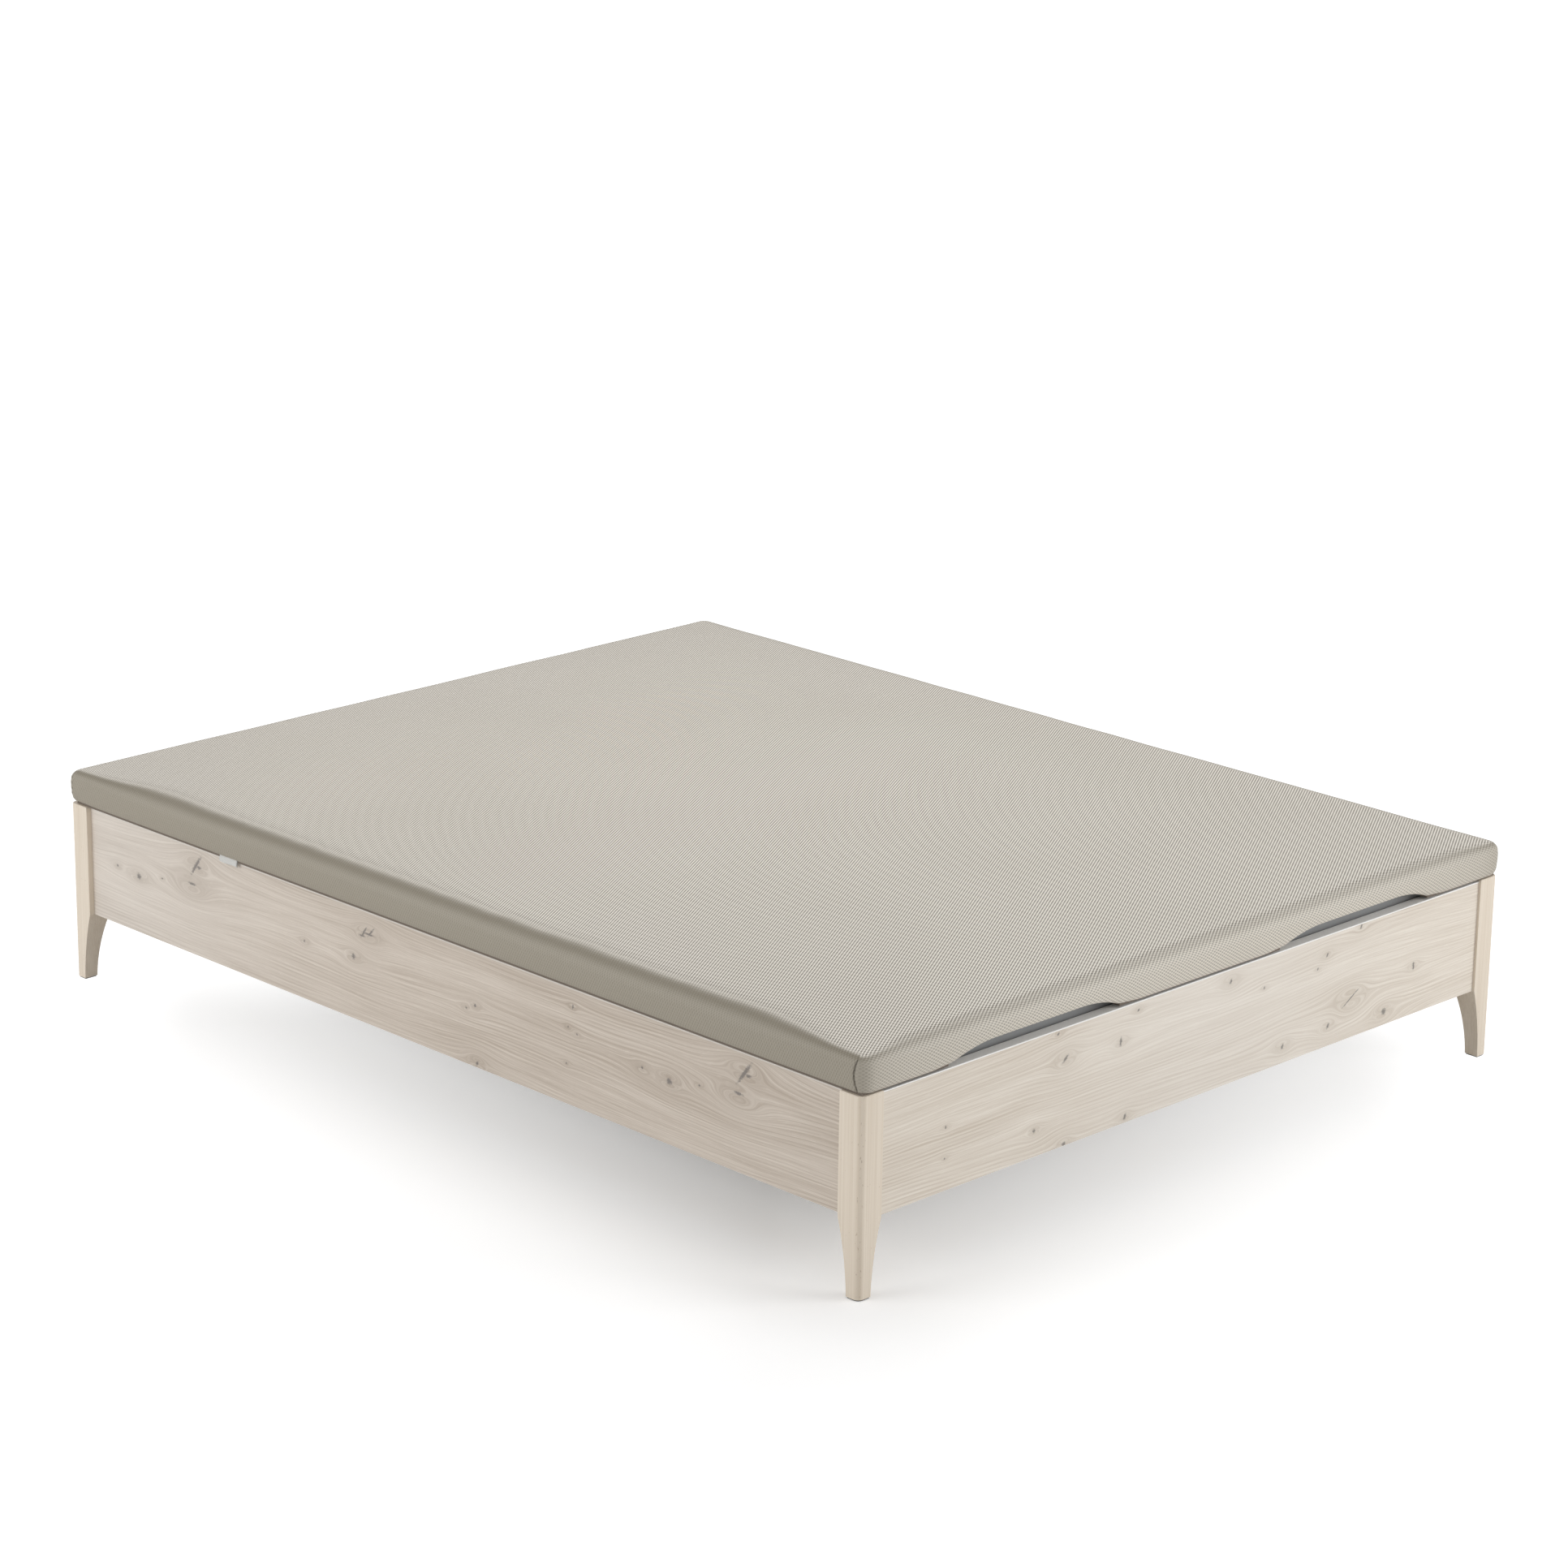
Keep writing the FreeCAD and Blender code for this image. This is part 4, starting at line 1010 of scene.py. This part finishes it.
def lid_cover_mesh():
    """Closed shell of the cover, its cloth layout as a UV map and its drawn state, which also sets its
    painted shade, as a colour.
    """
    xs, ys, sides = cover_columns()
    verts = []
    faces = []
    layout = []
    state = []

    def lay_column(column, seam_gap=None):
        """Adds a column's points; returns their first index, their lengths and the column."""
        points = column.section()
        if seam_gap is not None:
            points = seam_shape(points, seam_gap)
        first = len(verts)
        for index, (reach, z) in enumerate(points):
            spin = 0.0 if seam_gap is None or index > outer_last else seam_spin(column, seam_gap, z)
            cos, sin = math.cos(spin), math.sin(spin)
            across = (column.way[0] * cos - column.way[1] * sin, column.way[0] * sin + column.way[1] * cos)
            verts.append((column.x + across[0] * reach, column.y + across[1] * reach, z))
        return first, lengths_along(points), column

    def add_strip(left, right, way, shifts, gaps):
        """Faces between two columns, laid out on the cloth of the side that faces that way."""
        for index in range(len(left[1]) - 1):
            faces.append((left[0] + index, left[0] + index + 1, right[0] + index + 1, right[0] + index))
            corners = ((left, 0, index), (left, 0, index + 1), (right, 1, index + 1), (right, 1, index))
            for (first, lengths, column), end, place in corners:
                planar = verts[first + place][:2]
                wrapped = (column.x + (way[0] * lengths[place] if way[0] else shifts[end]),
                           column.y + (way[1] * lengths[place] if way[1] else shifts[end]))
                share = smooth_step(place / rim_last)
                layout.append(on_cloth(*(p + (w - p) * share for p, w in zip(planar, wrapped))))
                state.append(drawn_and_shaded_state(place, way, column, gaps[end]))

    for number, side in enumerate(sides):
        way = side[0].way
        after = sides[(number + 1) % 4]
        seam = corner_seam(number)
        ends = ((math.pi / 2 - corner_seam((number + 3) % 4)) * lid_corner_radius, seam * lid_corner_radius)
        reach = corner_x if way[1] else corner_y
        laid = [lay_column(column) for column in side]
        along = [column.x if way[1] else column.y for column in side]
        past = [abs(place - along[0]) for place in along]
        gap = [min(p + ends[0], 2 * reach - p + ends[1]) for p in past]
        for step in range(len(laid) - 1):
            add_strip(laid[step], laid[step + 1], way, (0.0, 0.0), gap[step:step + 2])
        turned = [(0.0, laid[-1])]
        for turn, column in corner_fan(side[-1], after[0], seam):
            turned.append((turn, lay_column(column, (turn - seam) * lid_corner_radius)))
        turned.append((math.pi / 2, lay_column(after[0])))
        forward = 1.0 if number in (0, 1) else -1.0
        onward = -1.0 if number in (0, 3) else 1.0
        for (turn_a, left), (turn_b, right) in zip(turned, turned[1:]):
            gaps = [abs(turn - seam) * lid_corner_radius for turn in (turn_a, turn_b)]
            if turn_b <= seam + tiny:
                shifts = [forward * turn * lid_corner_radius for turn in (turn_a, turn_b)]
                add_strip(left, right, way, shifts, gaps)
            else:
                shifts = [onward * (math.pi / 2 - turn) * lid_corner_radius for turn in (turn_a, turn_b)]
                add_strip(left, right, after[0].way, shifts, gaps)

    first = len(verts)
    verts.extend((x, y, top_height(x, y)) for y in ys for x in xs)
    wide = len(xs)
    for row in range(len(ys) - 1):
        for step in range(wide - 1):
            corner = first + row * wide + step
            face = (corner, corner + 1, corner + 1 + wide, corner + wide)
            faces.append(face)
            for point in face:
                x, y = verts[point][:2]
                long_side = lid_reach_x - abs(x) < lid_reach_y - abs(y)
                away = lid_reach_x - abs(x) if long_side else lid_reach_y - abs(y)
                rim, turned = rim_state(1 - away / roll_size(x, y, long_side)[0], long_side)
                layout.append(on_cloth(x, y))
                state.append((rim, turned * (1.0 if long_side else end_flank), 0.0, 0.0))
    inside = len(verts)
    verts.extend((column.x, column.y, column.ceiling()) for side in sides for column in side[:-1])
    under = tuple(range(inside, len(verts)))
    faces.append(under)
    layout.extend(verts[point][:2] for point in under)
    state.extend((0.0, 0.0, 0.0, 0.0) for point in under)

    mesh = new_mesh("lid_upholstery", verts, [], faces)
    uv = mesh.uv_layers.new(name="cloth")
    uv.data.foreach_set("uv", np.array(layout, np.float32).ravel())
    drawn = mesh.color_attributes.new("drawn", "FLOAT_COLOR", "CORNER")
    drawn.data.foreach_set("color", np.array(state, np.float32).ravel())
    return tidy_mesh(mesh)


def seam_paths():
    """Line of each corner seam, from the rim down to the tucked edge."""
    sides = cover_columns()[2]
    paths = []
    for number, side in enumerate(sides):
        seam = corner_seam(number)
        fan = corner_fan(side[-1], sides[(number + 1) % 4][0], seam)
        column = [column for turn, column in fan if turn == seam][0]
        path = []
        for index, (reach, z) in enumerate(seam_shape(column.section(), 0.0)):
            if seam_first_point + seam_start_points <= index <= outer_last - seam_end_points:
                angle = math.atan2(column.way[1], column.way[0]) + seam_spin(column, 0.0, z)
                out = reach + stitch_radius * stitch_stand_share
                path.append((column.x + out * math.cos(angle), column.y + out * math.sin(angle), z))
        paths.append(path)
    return paths


upholstery = new_piece("lid_upholstery", lid_cover_mesh(), "cover_mesh")
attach(upholstery, "lid")
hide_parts("lid_cover")


def foam_pad():
    """Foam layer under the cover, with softened edges."""
    radius = lid_corner_radius - lid_wall_thickness
    outline = []
    for sign_x, sign_y, start in ((1, 1, 0), (-1, 1, 1), (-1, -1, 2), (1, -1, 3)):
        centre = Vector((sign_x * (foam_high.x - radius), sign_y * (foam_high.y - radius), 0.0))
        for step in range(foam_corner_parts + 1):
            angle = (start + step / foam_corner_parts) * math.pi / 2
            outline.append(centre + radius * Vector((math.cos(angle), math.sin(angle), 0.0)))
    spans = zip(outline, outline[1:] + outline[:1])
    parts = [max(1, round((q - p).length / foam_ring_pitch)) for p, q in spans]
    verts = []
    for rise, inset in foam_rings:
        z = foam_low.z + rise
        ring = []
        for p in outline:
            ring.append(Vector((p.x - math.copysign(inset, p.x), p.y - math.copysign(inset, p.y), z)))
        for p, q, part in zip(ring, ring[1:] + ring[:1], parts):
            for place in (p.lerp(q, step / part) for step in range(part)):
                verts.append((place.x, place.y, min(z, top_height(place.x, place.y) - foam_cloth_gap)))
    count = sum(parts)
    last = len(verts) - count
    faces = [tuple(range(count))[::-1]]
    for base in range(0, last, count):
        for step in range(count):
            after = (step + 1) % count
            faces.append((base + step, base + after, base + count + after, base + count + step))
    faces.append(tuple(range(last, len(verts))))
    return tidy_mesh(new_mesh("lid_foam_pad", verts, [], faces))


pad = new_piece("lid_foam_pad", foam_pad(), "foam", smooth=False)
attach(pad, "lid")
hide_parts("lid_foam")


def label_tab():
    """Plain tab of woven ribbon, doubled over and sewn under the cover's edge."""
    low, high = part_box("lid_tab")
    drop = high.z - low.z
    sewn = high.z + tab_sewn_in
    bent = high.z - 0.3 * drop
    section = [(0.0, sewn), (0.0, bent), (-tab_gather, high.z - 0.6 * drop)]
    for step in range(tab_fold_parts + 1):
        angle = step / tab_fold_parts * math.pi
        section.append((-tab_gather * 0.6 + tab_fold / 2 * (1 - math.cos(angle)),
                        low.z + tab_fold / 2 * (1 - math.sin(angle))))
    section.extend(((tab_back, bent), (tab_back, sewn)))
    verts = []
    for y in np.linspace(low.y, high.y, tab_length_parts + 1):
        sway = tab_sway * math.sin((y - low.y) / (high.y - low.y) * math.pi * 2)
        verts.extend((low.x + x + sway * (high.z - z) / drop, y, z) for x, z in section)
    count = len(section)
    faces = []
    for step in range(tab_length_parts):
        for point in range(count - 1):
            corner = step * count + point
            faces.append((corner, corner + 1, corner + count + 1, corner + count))
    return tidy_mesh(new_mesh("lid_label_tab", verts, [], faces))


tab = new_piece("lid_label_tab", label_tab(), "tab_cloth")
thicken = tab.modifiers.new("cloth", "SOLIDIFY")
thicken.thickness = tab_cloth_thickness
thicken.offset = 0.0
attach(tab, "lid")
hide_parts("lid_tab")


# Rows of small fittings, grown by geometry nodes

def path_mesh(name, paths):
    """Mesh of bare edges along each path."""
    verts = []
    edges = []
    for path in paths:
        first = len(verts)
        verts.extend(path)
        edges.extend((first + step, first + step + 1) for step in range(len(path) - 1))
    return new_mesh(name, verts, edges, [])


def grow(name, mesh, tree, finish, body, slot, **sizes):
    """Runs a tree on a mesh with its named sizes and keeps the result as a plain mesh on one body."""
    piece = linked(name, mesh)
    modifier = piece.modifiers.new("grow", "NODES")
    modifier.node_group = tree
    values = {**sizes, "Finish": finishes[finish]}
    for item in tree.interface.items_tree:
        if item.in_out == "INPUT" and item.name in values:
            modifier[item.identifier] = values[item.name]
    piece.update_tag()
    bpy.context.view_layer.update()
    evaluated = piece.evaluated_get(bpy.context.evaluated_depsgraph_get())
    made = bpy.data.meshes.new_from_object(evaluated)
    piece.modifiers.clear()
    piece.data = made
    made.name = name
    made.materials.clear()
    made.materials.append(finishes[finish])
    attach(piece, body)


def growing_tree(name, **sizes):
    """Geometry tree with a mesh in, named sizes, a finish and a mesh out."""
    inputs = [("Geometry", "Geometry", None)]
    inputs += [(label, "Float", value) for label, value in sizes.items()]
    inputs.append(("Finish", "Material", None))
    return node_group(name, "GeometryNodeTree", inputs, [("Geometry", "Geometry")])


def evenly_along(build, given):
    """Points at even spacing along the given edges."""
    line = build.add("GeometryNodeMeshToCurve", {0: given["Geometry"]})
    return build.add("GeometryNodeResampleCurve", {"Curve": line, "Length": given["Spacing"]}, mode="LENGTH")


def aligned(build, direction, axis):
    return build.add("FunctionNodeAlignRotationToVector", {"Vector": direction}, axis=axis)


def close_tree(build, given, out, points, instance, rotation=None, scale=None):
    """Ends a tree: the instance on each point, made real, smooth and finished."""
    inputs = {"Points": points, "Instance": instance, "Rotation": rotation, "Scale": scale}
    placed = build.add("GeometryNodeInstanceOnPoints", inputs)
    real = build.add("GeometryNodeRealizeInstances", {0: placed})
    smooth = build.add("GeometryNodeSetShadeSmooth", {0: real})
    done = build.add("GeometryNodeSetMaterial", {"Geometry": smooth, "Material": given["Finish"]})
    build.put(out[0], done)
    return build.tree


def stitch_tree():
    """Short thread stitches, end to end along a seam."""
    build, given, out = growing_tree(
        "Seam stitches", Spacing=stitch_pitch, Length=stitch_length, Radius=stitch_radius)
    row = evenly_along(build, given)
    thread = build.add("GeometryNodeMeshUVSphere", {"Segments": 8, "Rings": 6, "Radius": 0.5})
    width = given["Radius"] * 2.0
    size = build.join(width, width, given["Length"])
    turn = aligned(build, build.add("GeometryNodeInputTangent"), "Z")
    return close_tree(build, given, out, row, thread, turn, size)


def staple_tree():
    """Wire staples across a path, at even spacing."""
    build, given, out = growing_tree(
        "Staples", Spacing=staple_pitch, Width=staple_width, Radius=staple_radius)
    row = evenly_along(build, given)
    half = given["Width"] * 0.5
    drop = given["Radius"] * 1.5
    bend = {"Resolution": 6, "Start": build.join(half * -1.0, 0.0, drop), "End": build.join(half, 0.0, drop),
            "Middle": build.join(0.0, 0.0, given["Radius"] * -3.0)}
    crown = build.add("GeometryNodeCurveQuadraticBezier", bend)
    round_wire = {"Resolution": 6, "Radius": given["Radius"]}
    wire = build.add("GeometryNodeCurvePrimitiveCircle", round_wire, mode="RADIUS")
    staple = build.add("GeometryNodeCurveToMesh", {"Curve": crown, "Profile Curve": wire, "Fill Caps": True})
    turn = aligned(build, build.add("GeometryNodeInputTangent"), "X")
    return close_tree(build, given, out, row, staple, turn)


def drive_tree():
    """Domed screw heads with a cross recess, each facing the way its point says."""
    build, given, out = growing_tree(
        "Screw drives", Radius=screw_head_radius, Height=screw_head_radius * drive_height_share)
    dome = build.add("GeometryNodeMeshUVSphere", {"Segments": 16, "Rings": 8, "Radius": 1.0})
    size = build.join(given["Radius"], given["Radius"], given["Height"])
    dome = build.add("GeometryNodeTransform", {"Geometry": dome, "Scale": size})
    slot = given["Radius"] * drive_slot_share
    reach = given["Radius"] * (2 * drive_reach_share)
    deep = given["Height"] * 1.5
    lift = build.join(0.0, 0.0, given["Height"])
    bars = build.add("GeometryNodeJoinGeometry")
    for bar_size in (build.join(reach, slot, deep), build.join(slot, reach, deep)):
        bar = build.add("GeometryNodeMeshCube", {"Size": bar_size})
        bar = build.add("GeometryNodeTransform", {"Geometry": bar, "Translation": lift})
        build.put(bars.inputs[0], bar)
    head = build.add("GeometryNodeMeshBoolean", operation="DIFFERENCE")
    build.put(head.inputs["Mesh 1"], dome)
    build.put(head.inputs["Mesh 2"], bars)
    facing = build.add("GeometryNodeInputNamedAttribute", {"Name": "facing"}, data_type="FLOAT_VECTOR")
    return close_tree(build, given, out, given["Geometry"], head, aligned(build, facing, "Z"))


def grille_tree():
    """Bars across each round vent, cut to its bore."""
    build, given, out = growing_tree(
        "Vent bars", Bore=vent_bore, Spacing=vent_bar_pitch, Radius=vent_bar_radius)
    count = build.math("FLOOR", given["Bore"] * 2.0 / given["Spacing"])
    line = {"Count": count, "Start Location": build.join(given["Spacing"] * (count - 1.0) * -0.5, 0.0),
            "Offset": build.join(given["Spacing"], 0.0)}
    row = build.add("GeometryNodeMeshLine", line, mode="OFFSET")
    rod = {"Vertices": 8, "Radius": given["Radius"], "Depth": 1.0}
    bar = build.add("GeometryNodeMeshCylinder", rod, fill_type="NGON")
    bar = build.add("GeometryNodeTransform", {"Geometry": bar, "Rotation": (math.pi / 2, 0.0, 0.0)})
    x = build.split(build.add("GeometryNodeInputPosition"))[0]
    left = build.math("MAXIMUM", given["Bore"] * given["Bore"] - x * x, 0.0)
    size = build.join(1.0, build.math("SQRT", left) * 2.0, 1.0)
    bars = build.add("GeometryNodeInstanceOnPoints", {"Points": row, "Instance": bar, "Scale": size})
    bars = build.add("GeometryNodeRealizeInstances", {0: bars})
    return close_tree(build, given, out, given["Geometry"], bars)


stitches = stitch_tree()
staples = staple_tree()
drives = drive_tree()
grilles = grille_tree()

grow("lid_corner_stitches", path_mesh("seams", seam_paths()), stitches, "seam_thread", "lid", "cover_mesh",
     Spacing=stitch_pitch, Length=stitch_length, Radius=stitch_radius)


def staple_paths():
    """Lines under the turned-in lip, clear of the hinges and the finger recesses."""
    x = corner_x + staple_inset
    y = corner_y + staple_inset
    z = lid_bottom - staple_radius
    outer = recess_centre + recess_foot_half + staple_clearance
    inner = recess_centre - recess_foot_half - staple_clearance
    head = hinge_gap_span[0] - staple_clearance
    return [
        [(-x, -corner_y, z), (-x, corner_y, z)],
        [(x, -corner_y, z), (x, corner_y, z)],
        [(-head, y, z), (head, y, z)],
        [(-corner_x, -y, z), (-outer, -y, z)],
        [(-inner, -y, z), (inner, -y, z)],
        [(outer, -y, z), (corner_x, -y, z)],
    ]


grow("lid_lip_staples", path_mesh("lip", staple_paths()), staples, "zinc_steel", "lid", "zinc_steel",
     Spacing=staple_pitch, Width=staple_width, Radius=staple_radius)


def loose_solids(name):
    """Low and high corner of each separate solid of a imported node."""
    shell = bmesh.new()
    shell.from_mesh(nodes[name].data)
    bmesh.ops.remove_doubles(shell, verts=shell.verts, dist=tiny)
    waiting = set(shell.verts)
    boxes = []
    while waiting:
        stack = [waiting.pop()]
        found = []
        while stack:
            vert = stack.pop()
            found.append(vert.co.copy())
            for edge in vert.link_edges:
                other = edge.other_vert(vert)
                if other in waiting:
                    waiting.remove(other)
                    stack.append(other)
        boxes.append((Vector(map(min, zip(*found))), Vector(map(max, zip(*found)))))
    shell.free()
    return sorted(boxes, key=lambda pair: tuple(pair[0]))


def drive_points(name, faces):
    """Middle of each screw's outer head face and the way it faces; faces gives that way for a solid."""
    points = []
    for low, high in loose_solids(name):
        middle = (low + high) / 2
        way = faces(middle, high - low)
        place = Vector(high[i] if way[i] > 0 else low[i] if way[i] < 0 else middle[i] for i in range(3))
        points.append((place, way))
    return points


def inward(middle, size):
    """Screws driven outwards into the boards show their heads to the inside of the box."""
    axis = max(range(3), key=lambda i: size[i])
    way = Vector((0.0, 0.0, 0.0))
    way[axis] = -math.copysign(1.0, middle[axis])
    return way


def downward(middle, size):
    return Vector((0.0, 0.0, -1.0))


def outward_x(middle, size):
    return Vector((math.copysign(1.0, middle.x), 0.0, 0.0))


def grow_drives(name, points, body, radius):
    """Screw drives at places and facing the ways of drive_points."""
    mesh = new_mesh(name + "_points", [tuple(place) for place, way in points], [], [])
    facing = mesh.attributes.new("facing", "FLOAT_VECTOR", "POINT")
    facing.data.foreach_set("vector", np.array([tuple(way) for place, way in points], np.float32).ravel())
    grow(name, mesh, drives, "zinc_steel", body, "zinc_steel",
         Radius=radius, Height=radius * drive_height_share)


box_drives = [pair for name in ("corner_block_screws", "floor_cleat_screws", "hinge_plate_screws")
              for pair in drive_points(name, inward)]
grow_drives("box_screw_drives", box_drives, "base", screw_head_radius)
grow_drives("lid_screw_drives", drive_points("lid_frame_screws", downward), "lid", screw_head_radius)
grow_drives("arm_bolt_drives", drive_points("lid_arm_bolts", outward_x), "lid", bolt_head_radius)

vent_points = [((low.x + high.x) / 2, (low.y + high.y) / 2, low.z + 2 * vent_bar_radius)
               for low, high in loose_solids("lid_air_vents")]
vent_mesh = new_mesh("vents", vent_points, [], [])
grow("lid_vent_grilles", vent_mesh, grilles, "dark_plastic", "lid", "dark_plastic",
     Bore=vent_bore, Spacing=vent_bar_pitch, Radius=vent_bar_radius)


# Stage: floor, light and camera

def seen_directly(build):
    """One for rays that show a surface to the camera, straight, mirrored or through glass."""
    path = build.add("ShaderNodeLightPath").outputs
    direct = build.math("MAXIMUM", path["Is Camera Ray"], path["Is Glossy Ray"])
    return build.math("MAXIMUM", direct, path["Is Transmission Ray"])


def studio_floor():
    """Pale floor that shows white to the camera and keeps the bed's shadow as a soft grey, its depth painted
    by place and fading out in front of the bed, towards its far legs and to the sides.
    """
    corners = [(-floor_half, -floor_half, 0.0), (floor_half, -floor_half, 0.0),
               (floor_half, floor_half, 0.0), (-floor_half, floor_half, 0.0)]
    mesh = new_mesh("studio_floor", corners, [], [(0, 1, 2, 3)])
    floor = linked("studio_floor", mesh)
    material = bpy.data.materials.new("studio_floor")
    material.use_nodes = True
    material.node_tree.nodes.clear()
    build = Nodes(material.node_tree)
    x, y = build.split(object_point(build))[:2]
    away = (x + y) * math.sqrt(0.5)
    aside = build.math("ABSOLUTE", (x - y) * math.sqrt(0.5))
    # Painted shadow depth: the bed's shadow shows in full only over this patch, and the glow lifts the rest
    # to white
    shadow_depth = (floor_shadow - aside * floor_shadow_fade) * build.ramp(aside, *floor_shadow_side)
    shadow_depth = shadow_depth * build.ramp(away, *floor_shadow_near) * build.ramp(away, *floor_shadow_far)
    shade = build.add("ShaderNodeBsdfDiffuse", {"Color": build.mix(shadow_depth, black, white)})
    glow = build.add("ShaderNodeEmission", {"Color": white, "Strength": floor_white - shadow_depth})
    seen = build.add("ShaderNodeAddShader", {0: shade, 1: glow})
    bounce = build.add("ShaderNodeBsdfDiffuse", {"Color": floor_bounce})
    both = build.add("ShaderNodeMixShader", {0: seen_directly(build), 1: bounce, 2: seen})
    build.add("ShaderNodeOutputMaterial", {"Surface": both})
    mesh.materials.append(material)


def studio_sky():
    """White behind the bed for the camera and reflections, softer as light."""
    world = bpy.data.worlds.new("studio_sky")
    bpy.context.scene.world = world
    world.use_nodes = True
    world.node_tree.nodes.clear()
    build = Nodes(world.node_tree)
    light = build.add("ShaderNodeBackground", {"Color": white, "Strength": sky_strength})
    backdrop = build.add("ShaderNodeBackground", {"Color": white, "Strength": 1.0})
    both = build.add("ShaderNodeMixShader", {0: seen_directly(build), 1: light, 2: backdrop})
    build.add("ShaderNodeOutputWorld", {"Surface": both})


def soft_panel(name, place, aim, size, power):
    """Large square soft light."""
    lamp = bpy.data.lights.new(name, "AREA")
    lamp.shape = "SQUARE"
    lamp.size = size
    lamp.energy = power
    panel = linked(name, lamp)
    panel.location = place
    panel.rotation_mode = "QUATERNION"
    panel.rotation_quaternion = (Vector(aim) - Vector(place)).to_track_quat("-Z", "Y")


def photo_camera():
    """Camera at the photograph's place, with its roll."""
    forward = Vector((math.sin(camera_yaw) * math.cos(camera_pitch),
                      math.cos(camera_yaw) * math.cos(camera_pitch), -math.sin(camera_pitch)))
    right = Vector((math.cos(camera_yaw), -math.sin(camera_yaw), 0.0))
    up = right.cross(forward)
    turned_right = math.cos(camera_roll) * right + math.sin(camera_roll) * up
    turned_up = -math.sin(camera_roll) * right + math.cos(camera_roll) * up
    data = bpy.data.cameras.new("photo_camera")
    data.sensor_width = sensor_width
    data.lens = photo_focal / photo_size * sensor_width
    camera = linked("photo_camera", data)
    turn = Matrix((turned_right, turned_up, -forward)).transposed().to_4x4()
    camera.matrix_world = Matrix.Translation(camera_target - forward * camera_distance) @ turn
    bpy.context.scene.camera = camera


studio_floor()
studio_sky()
for name, (place, aim, size, power) in soft_panels.items():
    soft_panel(name, place, aim, size, power)
photo_camera()
bpy.context.scene.view_settings.view_transform = "Standard"
